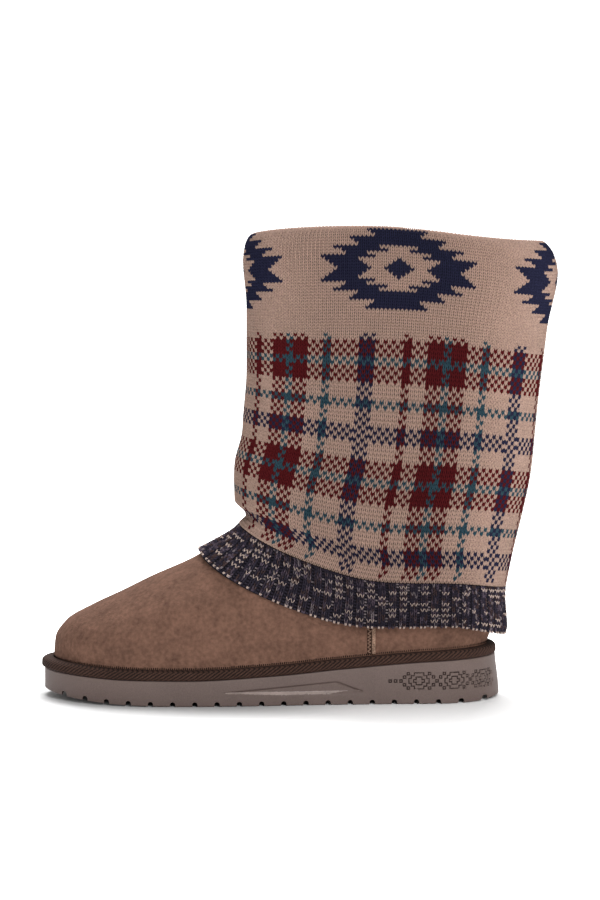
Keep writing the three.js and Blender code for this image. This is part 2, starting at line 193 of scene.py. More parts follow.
@dataclass
class BootForm:
    """The sole's and the skin's shapes, worked out from named sizes and the two tables."""

    sole_length: float = 272.0
    heel_reach: float = 28.9
    ball_half_width: float = 51.0
    leg_height: float = 256.0
    clearance: float = 0.3
    forefoot_thickness: float = 15.0
    heel_rise: float = 11.3
    toe_spring: float = 4.6
    heel_bevel: float = 1.5
    heel_round: float = 38.0
    toe_round: float = 66.0
    upper_wall: float = 2.5
    knit_wall: float = 2.8
    hem_standoff: float = 4.2
    slouch: float = 8.0
    crease_depth: float = 1.5
    collar_bulge: float = 2.8
    roll_height: float = 6.4
    top_draw: float = 4.2
    top_round: float = 12.0
    sole: dict[str, SmoothColumn] = field(init=False)
    rows: dict[str, SmoothColumn] = field(init=False)

    def __post_init__(self) -> None:
        """Makes a smooth curve of each column of the two tables."""
        along = [section.along for section in SOLE_SECTIONS]
        names = ("lateral", "medial", "rise", "lift", "bottom", "bevel")
        self.sole = {n: SmoothColumn(along, [getattr(s, n) for s in SOLE_SECTIONS]) for n in names}
        names = ("front", "front_up", "back", "back_up", "width", "oval", "sag", "follow")
        count = range(len(SKIN_ROWS))
        self.rows = {n: SmoothColumn(count, [getattr(r, n) for r in SKIN_ROWS]) for n in names}

    def share_along(self, x: Array) -> Array:
        """Returns the share of the sole's length at a place along X."""
        return (x + self.heel_reach) / self.sole_length

    def place_along(self, share: Array) -> Array:
        """Returns the place along X at a share of the sole's length."""
        return share * self.sole_length - self.heel_reach

    def sole_top(self, x: Array) -> Array:
        """Returns the height of the sole's upper edge."""
        along = self.share_along(x)
        rise = self.heel_rise * self.sole["rise"](along)
        return self.forefoot_thickness + rise + self.toe_spring * self.sole["lift"](along)

    def sole_bottom(self, x: Array) -> Array:
        """Returns the height of the tread's face over the floor."""
        along = self.share_along(x)
        return self.toe_spring * self.sole["bottom"](along) + self.heel_bevel * self.sole["bevel"](along)

    def outline(self, angle: Array, back: Array, front: Array, half_width: Array) -> tuple[Array, Array]:
        """Works out the footprint's outline between a back and a front end.

        Args:
            angle: 0 at the toe and a quarter turn at the outer side.
            back: the outline's hindmost place along X.
            front: its foremost place along X.
            half_width: half its width at the ball.

        Returns:
            The places along X and Y.
        """
        x = blend(back, front, 0.5 + 0.5 * np.cos(angle))
        along = self.share_along(x)
        scale = (front - back) / self.sole_length
        heel = 1.0 - np.clip((x - back) / (self.heel_round * scale), 0.0, 1.0)
        toe = 1.0 - np.clip((front - x) / (self.toe_round * scale), 0.0, 1.0)
        ends = np.sqrt(1.0 - heel * heel) * np.sqrt(1.0 - toe * toe)
        lateral = self.sole["lateral"](along) * half_width
        medial = self.sole["medial"](along) * half_width
        y = (lateral - medial) * 0.5 + np.sign(np.sin(angle)) * (lateral + medial) * 0.5 * ends
        return x, y

    def skin(self, row: Array, angle: Array) -> Array:
        """Returns the outer skin's points at rows and angles, which broadcast together."""
        row, angle = np.broadcast_arrays(np.asarray(row, float), np.asarray(angle, float))
        columns = {name: curve(row) for name, curve in self.rows.items()}
        back = self.place_along(columns["back"])
        front = self.place_along(columns["front"])
        forward = 0.5 + 0.5 * np.cos(angle)
        half_width = columns["width"] * self.ball_half_width
        x, foot = self.outline(angle, back, front, half_width)
        y = blend(foot, half_width * np.sin(angle), columns["oval"])
        chord = blend(self.sole_top(back), self.sole_top(front), forward)
        edge = blend(chord, self.sole_top(x), columns["follow"])
        rise = blend(columns["back_up"], columns["front_up"], forward)
        sag = columns["sag"] * np.abs(np.sin(angle)) ** 1.5 * ease(forward, 0.0, 0.6)
        return np.stack([x, y, edge + self.clearance + (rise - sag) * self.leg_height], axis=-1)

    def normal(self, row: Array, angle: Array) -> Array:
        """Returns the skin's outward directions."""
        step = 0.01
        row = np.asarray(row, float)
        around = self.skin(row, angle + step) - self.skin(row, angle - step)
        low = np.maximum(row - step, 0.0)
        high = np.minimum(row + step, COLLAR_ROW)
        across = np.cross(around, self.skin(high, angle) - self.skin(low, angle))
        return across / np.linalg.norm(across, axis=-1, keepdims=True)

    def off_skin(self, row: Array, angle: Array, away: Array, lift: Array = 0.0) -> Array:
        """Returns points at a distance from the skin, raised by lift."""
        points = self.skin(row, angle) + self.normal(row, angle) * np.asarray(away)[..., None]
        points[..., 2] += lift
        return points

    def knit_inside(self, row: Array, angle: Array) -> Array:
        """Returns how far the knit's inner face stands off the skin."""
        row = np.asarray(row, float)
        to_back = 0.5 - 0.5 * np.cos(angle)
        hem = self.hem_standoff * to_back**2 * (1.0 - ease(row, HEM_ROW, BAND_TOP_ROW))
        fold = self.slouch * bump_between(row, 7.4, 8.0, 10.0) * (1.0 - to_back) ** 3
        collar = self.collar_bulge * bump_between(row, 12.0, 12.7, COLLAR_ROW) * blend(0.4, 1.0, to_back)
        return self.clearance + hem + fold + collar

    def knit_outside(self, row: Array, angle: Array) -> Array:
        """Returns how far the knit's outer face stands off the skin, with a soft slouch crease."""
        turn = np.abs(np.mod(np.asarray(angle) + math.pi, 2.0 * math.pi) - math.pi)
        off = (np.asarray(row, float) - blend(7.3, 8.05, turn / 0.9)) / 0.16
        crease = self.crease_depth * np.exp(-(off**2)) * (1.0 - ease(turn, 0.55, 1.15))
        return self.knit_inside(row, angle) + self.knit_wall - crease

    def round_top(self, points: Array) -> Array:
        """Returns the sleeve's points with its top drawn in at the front and the back."""
        collar = self.skin(COLLAR_ROW, np.array([0.0, math.pi]))
        middle, half = collar[:, 0].mean(), abs(np.diff(collar[:, 0])[0]) / 2.0
        forward = np.clip((points[..., 0] - middle) / half, -1.0, 1.0)
        top = blend(collar[1, 2], collar[0, 2], 0.5 + 0.5 * forward) + self.roll_height
        drawn = ease(points[..., 2] - top, -self.top_round, 0.0) * np.abs(forward) ** 6
        points = points.copy()
        points[..., 0] -= np.where(forward > 0.0, 0.4, -1.0) * self.top_draw * drawn
        return points


# Meshes


@dataclass
class MeshData:
    """Points, faces and bake coordinates of a mesh, with a finish number for each face."""

    points: Array
    faces: Array
    uvs: Array
    finishes: Array

    @staticmethod
    def join(parts: Sequence["MeshData"]) -> "MeshData":
        """Returns one set of data from several that have the same kind of face."""
        shift = np.cumsum([0] + [len(part.points) for part in parts[:-1]])
        return MeshData(
            np.concatenate([part.points for part in parts]),
            np.concatenate([part.faces + s for part, s in zip(parts, shift)]),
            np.concatenate([part.uvs for part in parts]),
            np.concatenate([part.finishes for part in parts]),
        )


def grid_data(points: Array, wrap_rows: bool = False, wrap_columns: bool = True) -> MeshData:
    """Makes four-sided faces over a grid of points.

    Args:
        points: an array of rows by columns by 3.
        wrap_rows: joins the last row to the first.
        wrap_columns: joins the last column to the first.

    Returns:
        The mesh data, with the grid's own layout as bake coordinates.
    """
    rows, columns = points.shape[:2]
    row = np.arange(rows if wrap_rows else rows - 1)[:, None]
    column = np.arange(columns if wrap_columns else columns - 1)[None, :]
    next_row = (row + 1) % rows
    next_column = (column + 1) % columns
    corners = (
        row * columns + column,
        row * columns + next_column,
        next_row * columns + next_column,
        next_row * columns + column,
    )
    faces = np.stack([np.broadcast_to(c, (len(row), column.shape[1])) for c in corners], axis=-1)
    across = np.stack([column, column + 1, column + 1, column], axis=-1) / column.shape[1]
    up = np.stack([row, row, row + 1, row + 1], axis=-1) / len(row)
    uvs = np.stack(np.broadcast_arrays(across, up), axis=-1)
    count = faces.shape[0] * faces.shape[1]
    return MeshData(points.reshape(-1, 3), faces.reshape(-1, 4), uvs.reshape(-1, 4, 2), np.zeros(count, int))


def capped_data(loops: Array) -> MeshData:
    """Makes a tube of closed loops whose ends shrink to a point each."""
    ends = [np.broadcast_to(loops[k].mean(axis=0), loops[:1].shape) for k in (0, -1)]
    return grid_data(np.concatenate([ends[0], loops, ends[1]]))


def add_piece(
    name: str,
    data: MeshData,
    materials: Sequence[bpy.types.Material],
    replaces: Sequence[str] = (),
    sharp: Optional[float] = None,
) -> bpy.types.Object:
    """Makes an object of mesh data, dresses it and lets it ride on the boot.

    Args:
        name: the piece's name.
        data: its mesh, in millimetres.
        materials: its materials, in the order of the data's finish numbers.
        replaces: the solids that it stands for.
        sharp: the angle in degrees past which an edge stays sharp, or None for none.

    Returns:
        The new object.
    """
    mesh = bpy.data.meshes.new(name)
    corners = data.faces.shape[1]
    count = len(data.faces)
    mesh.vertices.add(len(data.points))
    mesh.vertices.foreach_set("co", (data.points * METRE).astype(np.float32).ravel())
    mesh.loops.add(count * corners)
    mesh.loops.foreach_set("vertex_index", data.faces.astype(np.int32).ravel())
    mesh.polygons.add(count)
    mesh.polygons.foreach_set("loop_start", np.arange(0, count * corners, corners, dtype=np.int32))
    mesh.polygons.foreach_set("material_index", data.finishes.astype(np.int32))
    mesh.polygons.foreach_set("use_smooth", np.ones(count, bool))
    layer = mesh.uv_layers.new(name="OFBake")
    layer.data.foreach_set("uv", data.uvs.astype(np.float32).ravel())
    for material in materials:
        mesh.materials.append(material)
    mesh.update(calc_edges=True)
    mesh.validate()
    if sharp is not None:
        mesh.set_sharp_from_angle(angle=math.radians(sharp))
    piece = bpy.data.objects.new(name, mesh)
    bpy.context.scene.collection.objects.link(piece)
    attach(piece, BODY)
    if replaces:
        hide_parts(*replaces)
    log.info("%s: %d faces", name, count)
    return piece


# Shader parts


def from_screen(color: Sequence[float]) -> tuple[float, float, float, float]:
    """Returns the linear colour of a screen colour given from 0 to 255."""
    shares = [part / 255.0 for part in color]
    linear = [s / 12.92 if s <= 0.04045 else ((s + 0.055) / 1.055) ** 2.4 for s in shares]
    return (linear[0], linear[1], linear[2], 1.0)


class ShaderTree:
    """A node tree with short calls to add and join nodes."""

    def __init__(self, tree: bpy.types.NodeTree) -> None:
        """Keeps the tree."""
        self.tree = tree

    def node(self, kind: str, inputs: Optional[dict] = None, **settings) -> bpy.types.Node:
        """Adds a node.

        Args:
            kind: the node's type.
            inputs: a value, or a socket to join, for each input by name or number.
            **settings: the node's own properties.

        Returns:
            The node.
        """
        node = self.tree.nodes.new(kind)
        for name, value in settings.items():
            setattr(node, name, value)
        for key, value in (inputs or {}).items():
            if isinstance(value, bpy.types.NodeSocket):
                self.tree.links.new(value, node.inputs[key])
            else:
                node.inputs[key].default_value = value
        return node

    def math(self, operation: str, *values) -> bpy.types.NodeSocket:
        """Adds a math node and returns its output."""
        return self.node("ShaderNodeMath", dict(enumerate(values)), operation=operation).outputs[0]


class Effects:
    """The shader node groups that several materials share, each built once."""

    noise_gain: float = 4.0
    darkest: float = 0.15

    def __init__(self) -> None:
        """Builds the groups."""
        self.mottle = self._mottle()
        self.fibre = self._fibre()

    @staticmethod
    def _new(name: str, inputs: Sequence[tuple[str, str, object]], outputs: Sequence[tuple[str, str]]):
        """Makes an empty group with named sockets and returns it with its tree and ends."""
        group = bpy.data.node_groups.new(name, "ShaderNodeTree")
        for label, kind, value in inputs:
            socket = group.interface.new_socket(name=label, in_out="INPUT", socket_type=kind)
            socket.default_value = value
        for label, kind in outputs:
            group.interface.new_socket(name=label, in_out="OUTPUT", socket_type=kind)
        tree = ShaderTree(group)
        return group, tree, tree.node("NodeGroupInput"), tree.node("NodeGroupOutput")

    def _mottle(self) -> bpy.types.NodeTree:
        """Builds the group that varies a colour in soft patches and fine grains."""
        group, tree, ins, outs = self._new(
            "Mottled colour",
            [
                ("Color", "NodeSocketColor", (0.5, 0.5, 0.5, 1.0)),
                ("Patch Scale", "NodeSocketFloat", 40.0),
                ("Patch Amount", "NodeSocketFloat", 0.2),
                ("Grain Scale", "NodeSocketFloat", 900.0),
                ("Grain Amount", "NodeSocketFloat", 0.2),
            ],
            [("Color", "NodeSocketColor")],
        )
        place = tree.node("ShaderNodeTexCoord").outputs["Object"]
        shares = []
        for kind, detail in (("Patch", 4.0), ("Grain", 2.0)):
            scale = ins.outputs[f"{kind} Scale"]
            noise = tree.node("ShaderNodeTexNoise", {"Vector": place, "Scale": scale, "Detail": detail})
            centred = tree.math("SUBTRACT", noise.outputs[0], 0.5)
            amount = tree.math("MULTIPLY", ins.outputs[f"{kind} Amount"], self.noise_gain)
            shares.append(tree.math("MULTIPLY", centred, amount))
        total = tree.math("ADD", tree.math("ADD", *shares), 1.0)
        factor = tree.math("MAXIMUM", total, self.darkest)
        scaled = tree.node("ShaderNodeVectorMath", {0: ins.outputs["Color"]}, operation="SCALE")
        tree.tree.links.new(factor, scaled.inputs["Scale"])
        tree.tree.links.new(scaled.outputs[0], outs.inputs["Color"])
        return group

    def _fibre(self) -> bpy.types.NodeTree:
        """Builds the group that gives a fine height of fibres or grains."""
        group, tree, ins, outs = self._new(
            "Fibre height",
            [
                ("Scale", "NodeSocketFloat", 1500.0),
                ("Stretch", "NodeSocketVector", (1.0, 1.0, 1.0)),
                ("Rough", "NodeSocketFloat", 0.6),
            ],
            [("Height", "NodeSocketFloat")],
        )
        place = tree.node("ShaderNodeTexCoord").outputs["Object"]
        scaled = {0: place, 1: ins.outputs["Stretch"]}
        stretched = tree.node("ShaderNodeVectorMath", scaled, operation="MULTIPLY").outputs[0]
        inputs = {"Vector": stretched, "Scale": ins.outputs["Scale"], "Detail": 3.0}
        noise = tree.node("ShaderNodeTexNoise", {**inputs, "Roughness": ins.outputs["Rough"]})
        tree.tree.links.new(noise.outputs[0], outs.inputs["Height"])
        return group


@dataclass(frozen=True)
class Finish:
    """The look of one material: a mottled colour with a fine fibre or grain."""

    name: str
    color: tuple[float, float, float]
    roughness: float = 0.9
    patch_scale: float = 40.0
    patch: float = 0.15
    grain_scale: float = 900.0
    grain: float = 0.15
    fibre_scale: float = 1500.0
    fibre_depth: float = 0.15
    stretch: tuple[float, float, float] = (1.0, 1.0, 1.0)
    sheen: float = 0.0
    specular: float = 0.3

    def build(self, effects: Effects) -> bpy.types.Material:
        """Makes the material.

        Args:
            effects: the shared node groups.

        Returns:
            The material.
        """
        material = bpy.data.materials.new(self.name)
        material.use_nodes = True
        tree = ShaderTree(material.node_tree)
        shader = material.node_tree.nodes["Principled BSDF"]
        color = from_screen(self.color)
        mottle = tree.node(
            "ShaderNodeGroup",
            {
                "Color": color,
                "Patch Scale": self.patch_scale,
                "Patch Amount": self.patch,
                "Grain Scale": self.grain_scale,
                "Grain Amount": self.grain,
            },
            node_tree=effects.mottle,
        )
        fibre = tree.node(
            "ShaderNodeGroup",
            {"Scale": self.fibre_scale, "Stretch": self.stretch},
            node_tree=effects.fibre,
        )
        bump = tree.node(
            "ShaderNodeBump",
            {"Strength": 1.0, "Distance": self.fibre_depth * METRE, "Height": fibre.outputs["Height"]},
        )
        material.node_tree.links.new(mottle.outputs["Color"], shader.inputs["Base Color"])
        material.node_tree.links.new(bump.outputs["Normal"], shader.inputs["Normal"])
        shader.inputs["Roughness"].default_value = self.roughness
        shader.inputs["Specular IOR Level"].default_value = self.specular
        shader.inputs["Sheen Weight"].default_value = self.sheen
        shader.inputs["Sheen Roughness"].default_value = 0.6
        shader.inputs["Sheen Tint"].default_value = color
        return material


FOAM = Finish("Moulded foam", (95, 80, 75), roughness=0.62, patch_scale=30, patch=0.07, grain_scale=1400,
              grain=0.12, fibre_scale=1800, fibre_depth=0.08, specular=0.35)
TAPE = Finish("Woven binding tape", (62, 43, 36), patch_scale=60, patch=0.1, grain_scale=1100, grain=0.35,
              fibre_scale=1500, fibre_depth=0.2, sheen=0.15, specular=0.15)
# A darker copy of the tape: painted shade for the grooves between the ribs, and also the colour of the
# binding's stitches.
TAPE_SHADE_AND_THREAD = replace(TAPE, name="Binding tape between its ribs", color=(27, 18, 14), sheen=0.0)
SUEDE = Finish("Brushed suede", (98, 72, 60), roughness=0.95, patch_scale=75, patch=0.24, grain_scale=420,
               grain=0.26, fibre_scale=900, fibre_depth=0.5, sheen=0.25, specular=0.1)
# Darker foam for the stamped lines: painted shade in their grooves.
FOAM_STAMP_SHADE = Finish("Stamped foam lines in painted shade", (48, 38, 35), roughness=0.8, grain=0.2, specular=0.2)
# Lighter foam on the recess's lower ledge: a painted highlight where the ledge faces the light.
FOAM_LEDGE_HIGHLIGHT = Finish("Foam ledge with painted highlight", (140, 126, 120), roughness=0.45, patch_scale=60,
                    patch=0.25, grain=0.1)
SEAM_BED = Finish("Seam bed", (52, 36, 28), grain=0.35, grain_scale=1200, specular=0.1)
SEAM_ROLL = Finish("Seam roll", (134, 108, 92), patch_scale=260, patch=0.35, grain_scale=900, grain=0.5,
                   fibre_scale=900, fibre_depth=0.4, specular=0.1)
SEAM_THREAD = Finish("Seam thread", (120, 94, 80), grain=0.3, specular=0.15)
FLEECE = Finish("Short fleece", (168, 146, 128), patch_scale=160, patch=0.2, grain_scale=900, grain=0.25,
                fibre_scale=900, fibre_depth=0.8, sheen=0.4, specular=0.05)


def yarn(name: str, color: tuple[float, float, float], fleck: float = 0.2) -> Finish:
    """Returns the finish of a knitting yarn of a colour, with flecks of light and dark fibre."""
    return Finish(name, color, roughness=0.95, patch_scale=45, patch=0.06, grain_scale=1300, grain=fleck,
                  fibre_scale=2200, fibre_depth=0.25, sheen=0.07, specular=0.08)


def with_painted_shade(finish: Finish, share: float) -> Finish:
    """Returns a copy of a yarn's finish darkened by a share, as painted shade where it lies deep between the
    stitches.
    """
    color = tuple(part * share for part in finish.color)
    return replace(finish, name=f"{finish.name} in painted shade", color=color, sheen=0.0)


class Yarn(Enum):
    """The yarns of the sleeve; a yarn's value is its finish number."""

    BEIGE = 0
    NAVY = 1
    BURGUNDY = 2
    TEAL = 3


YARN_FINISHES = {
    Yarn.BEIGE: yarn("Beige yarn", (162, 136, 123), 0.4),
    Yarn.NAVY: yarn("Navy yarn", (34, 35, 56), 0.3),
    Yarn.BURGUNDY: yarn("Burgundy yarn", (76, 19, 22), 0.25),
    Yarn.TEAL: yarn("Teal yarn", (45, 68, 78), 0.3),
}


class RibYarn(Enum):
    """The shades of the band's marled yarn; a shade's value is its finish number."""

    DARK = 0
    FLECK = 1
    DUSK = 2
    BARK = 3
    ASH = 4


RIB_FINISHES = {
    RibYarn.DARK: yarn("Dark marl yarn", (43, 39, 49), 0.8),
    RibYarn.FLECK: yarn("Light marl yarn", (176, 157, 147), 0.3),
    RibYarn.DUSK: yarn("Dusk marl yarn", (76, 66, 76), 0.8),
    RibYarn.BARK: yarn("Brown marl yarn", (60, 47, 47), 0.8),
    RibYarn.ASH: yarn("Ash marl yarn", (112, 102, 105), 0.5),
}


# Knitting


@dataclass
class KnitSurface:
    """A knitted tube as a fine grid of points, addressed by wale round it and course up it."""

    points: Array
    wales: int
    courses: float

    def __post_init__(self) -> None:
        """Works out the outward direction at every point of the grid."""
        around = np.roll(self.points, -1, axis=1) - np.roll(self.points, 1, axis=1)
        up = np.gradient(self.points, axis=0)
        across = np.cross(around, up)
        self.normals = across / np.linalg.norm(across, axis=-1, keepdims=True)

    @staticmethod
    def from_profile(
        profile: Array, wales: int, knots: Sequence[tuple[float, Array]], fine: int = 2, lean: float = 0.0
    ) -> "KnitSurface":
        """Lays even wales round a profile and courses along it.

        Args:
            profile: rings of points from the tube's lower end to its last course.
            wales: how many wales go round.
            knots: pairs of a course and the profile's ring, which may differ round the tube, that
                the course lies on. Rings between whole numbers are allowed.
            fine: grid points for each wale and course.
            lean: how far the lowest ring's wales move back along the sides, as a share of the ring.

        Returns:
            The surface.
        """
        count = wales * fine
        closed = np.concatenate([profile, profile[:, :1]], axis=1)
        steps = np.linalg.norm(np.diff(closed, axis=1), axis=-1)
        lengths = np.concatenate([np.zeros((len(profile), 1)), np.cumsum(steps, axis=1)], axis=1)
        even = np.empty((len(profile), count, 3))
        for ring, (length, line) in enumerate(zip(lengths, closed)):
            share = np.arange(count) / count
            turn = 2.0 * math.pi * share
            moved = lean * np.sin(turn) * (0.75 + 0.5 * np.cos(turn))
            share = share + moved * (1.0 - ring / (len(profile) - 1))
            target = share * length[-1]
            for axis in range(3):
                even[ring, :, axis] = np.interp(target, length, line[:, axis])
        rise = np.linalg.norm(np.diff(even, axis=0), axis=-1)
        heights = np.concatenate([np.zeros((1, count)), np.cumsum(rise, axis=0)], axis=0)
        rings = np.arange(len(profile))
        courses = np.array([course for course, _ in knots])
        wanted = np.arange(int(round(courses[-1] * fine)) + 1) / fine
        points = np.empty((len(wanted), count, 3))
        for column in range(count):
            places = [ring if np.isscalar(ring) else ring[column] for _, ring in knots]
            marks = np.interp(places, rings, heights[:, column])
            target = np.interp(wanted, courses, marks)
            for axis in range(3):
                points[:, column, axis] = np.interp(target, heights[:, column], even[:, column, axis])
        return KnitSurface(points, wales, float(courses[-1]))

    def at(self, wale: Array, course: Array, height: Array) -> Array:
        """Returns points over the surface.

        Args:
            wale: places round the tube, in wales.
            course: places up the tube, in courses.
            height: millimetres outward.

        Returns:
            The points.
        """
        rows, columns = self.points.shape[:2]
        x = np.asarray(wale) * (columns / self.wales)
        y = np.clip(np.asarray(course) * ((rows - 1) / self.courses), 0.0, rows - 1.001)
        x0 = np.floor(x).astype(int)
        y0 = np.floor(y).astype(int)
        fx = (x - x0)[..., None]
        fy = (y - y0)[..., None]
        corners = (
            (0, 0, (1 - fx) * (1 - fy)),
            (1, 0, fx * (1 - fy)),
            (0, 1, (1 - fx) * fy),
            (1, 1, fx * fy),
        )
        base = sum(self.points[y0 + j, (x0 + i) % columns] * share for i, j, share in corners)
        out = sum(self.normals[y0 + j, (x0 + i) % columns] * share for i, j, share in corners)
        return base + out * np.asarray(height)[..., None]


@dataclass(frozen=True)
class StitchShape:
    """One knit stitch: two leaning legs that meet at the bottom and part at the top."""

    foot_gap: float = 0.05
    head_gap: float = 0.47
    foot: float = -0.5
    head: float = 1.2
    half_width: float = 0.125
    crest: float = 0.85
    sunk: float = -0.6

    def leg(self, side: int) -> tuple[Array, Array, Array]:
        """Returns a leg's eight points as wale, course and height; side is 1 or -1."""
        along = np.array([0.0, 0.27, 0.27, 0.27, 0.74, 0.74, 0.74, 1.0])
        across = np.array([0.0, -1.0, 0.0, 1.0, -1.0, 0.0, 1.0, 0.0])
        height = np.where(across == 0.0, self.crest, 0.0)
        height[[0, 7]] = self.sunk
        height[across * along != 0.0] = -0.3
        wale = side * (blend(self.foot_gap, self.head_gap, along) + across * self.half_width)
        course = blend(self.foot, self.head, along) - across * 0.06
        return wale, course, height


LEG_FACES = np.array([
    [0, 2, 1], [0, 3, 2], [1, 2, 5], [1, 5, 4],
    [2, 3, 6], [2, 6, 5], [4, 5, 7], [5, 6, 7],
])
LEG_OUTER = np.array([False, True, False, False, True, True, False, True])


def stitch_data(
    surface: KnitSurface,
    wales: Array,
    courses: Array,
    finishes: Array,
    shape: StitchShape,
    base: Array = 0.0,
    width: float = 1.0,
    outer_finishes: Optional[Array] = None,
) -> MeshData:
    """Makes a stitch at each wale and course.

    Args:
        surface: the knitted tube.
        wales: each stitch's middle, in wales.
        courses: each stitch's foot, in courses.
        finishes: each stitch's finish number.
        shape: the stitch.
        base: each stitch's height over the surface, in millimetres.
        width: the stitch's width, in wales.
        outer_finishes: the finish numbers of the legs' outer halves, where they differ.

    Returns:
        The mesh data of all the legs.
    """
    parts = []
    outer = finishes if outer_finishes is None else outer_finishes
    coats = np.where(LEG_OUTER[None, :], outer[:, None], finishes[:, None]).ravel()
    base = np.broadcast_to(base, wales.shape)
    for side in (1, -1):
        wale, course, height = shape.leg(side)
        place = wales[:, None] + wale * width
        points = surface.at(place, courses[:, None] + course, height + base[:, None])
        faces = LEG_FACES if side > 0 else LEG_FACES[:, ::-1]
        first = np.arange(len(wales)) * len(wale)
        local_u = 0.5 * (side > 0) + 0.48 * np.clip(wale * side + 0.1, 0.0, 0.7) / 0.7
        cell_u = np.mod(wales[:, None] - width / 2.0, surface.wales) + width * local_u
        cell_u = cell_u / (surface.wales + 0.5)
        cell_v = courses[:, None] + (course - course.min()) / (course.max() - course.min()) * 0.96
        uv = np.stack([cell_u, cell_v / (surface.courses + 1.0)], axis=-1)
        all_faces = (first[:, None, None] + faces).reshape(-1, 3)
        uvs = uv.reshape(-1, 2)[all_faces]
        parts.append(MeshData(points.reshape(-1, 3), all_faces, uvs, coats))
    return MeshData.join(parts)


@dataclass
class KnitChart:
    """The sleeve's pattern: a plaid of crossing stripes under a row of stepped medallions."""

    wales: int = 188
    plaid_courses: int = 56
    border_courses: int = 38
    inside_courses: int = 16
    plaid_first_wale: int = 10
    plaid_break: int = 141
    medallion_spacing: int = 47
    medallion_first: int = -1
    medallion_middle: float = 79.0

    def courses(self) -> int:
        """Returns how many courses the sleeve has in all."""
        return self.plaid_courses + self.border_courses + self.inside_courses

    @staticmethod
    def _stripes(runs: Sequence[tuple[Yarn, int]]) -> list[Yarn]:
        """Returns one yarn for each wale or course of a run of stripes."""
        return [yarn_name for yarn_name, count in runs for _ in range(count)]

    def _upright(self) -> list[Yarn]:
        """Returns the upright stripes over one repeat of 40 wales."""
        b, n, r, t = Yarn.BEIGE, Yarn.NAVY, Yarn.BURGUNDY, Yarn.TEAL
        runs = [(r, 1), (b, 4), (r, 4), (t, 2), (r, 4), (b, 4), (t, 2), (b, 7), (n, 4), (b, 7), (r, 1)]
        return self._stripes(runs)

    def _level(self) -> list[Yarn]:
        """Returns the level stripes over one repeat of 28 courses, from the top down."""
        b, n, r, t = Yarn.BEIGE, Yarn.NAVY, Yarn.BURGUNDY, Yarn.TEAL
        return self._stripes([(r, 4), (t, 2), (r, 4), (b, 4), (t, 2), (b, 4), (n, 4), (b, 4)])

    def plaid(self, wale: int, course: int) -> Yarn:
        """Returns the yarn of a stitch in the plaid, where stripes cross stitch by stitch."""
        upright = self._upright()
        level = self._level()
        wale = wale if wale < self.plaid_break else wale - self.wales
        standing = upright[(wale - self.plaid_first_wale) % len(upright)]
        down = self.plaid_courses - 1 - course
        lying = level[down % len(level)] if 0 <= down < 2 * len(level) else Yarn.BEIGE
        if not -2 <= down < 2 * len(level) - 1:
            standing = Yarn.BEIGE
        if standing is lying is Yarn.NAVY:
            lying = Yarn.BEIGE
        return standing if (wale + course) % 2 == 0 else lying

    def border(self, wale: int, course: int) -> Yarn:
        """Returns the yarn of a stitch in the border: navy medallions on beige."""
        spacing = self.medallion_spacing
        off = abs((wale - self.medallion_first + spacing / 2) % spacing - spacing / 2)
        row = abs(course - self.medallion_middle)
        steps = ((0, 4, 14.6), (5, 7, 12.9), (8, 10, 9.1), (11, 13, 5.1))
        eye = (6.5, 7.5, 8.5, 9.5, 5.7, 7.5, 2.9, 4.7)
        half = next((start + 1.05 * (row - low) for low, high, start in steps if low <= row <= high), -1.0)
        if off > half:
            return Yarn.BEIGE
        if row < len(eye) and off <= eye[int(row)]:
            return Yarn.NAVY if off <= 3.5 - row and row <= 3 else Yarn.BEIGE
        return Yarn.NAVY

    def at(self, wale: int, course: int) -> Yarn:
        """Returns the yarn of any stitch of the sleeve."""
        if course < self.plaid_courses + 2:
            return self.plaid(wale, course)
        return self.border(wale, course)

    def finishes(self) -> Array:
        """Returns the finish number of every stitch, courses by wales."""
        return np.array([[self.at(w, c).value for w in range(self.wales)] for c in range(self.courses())])


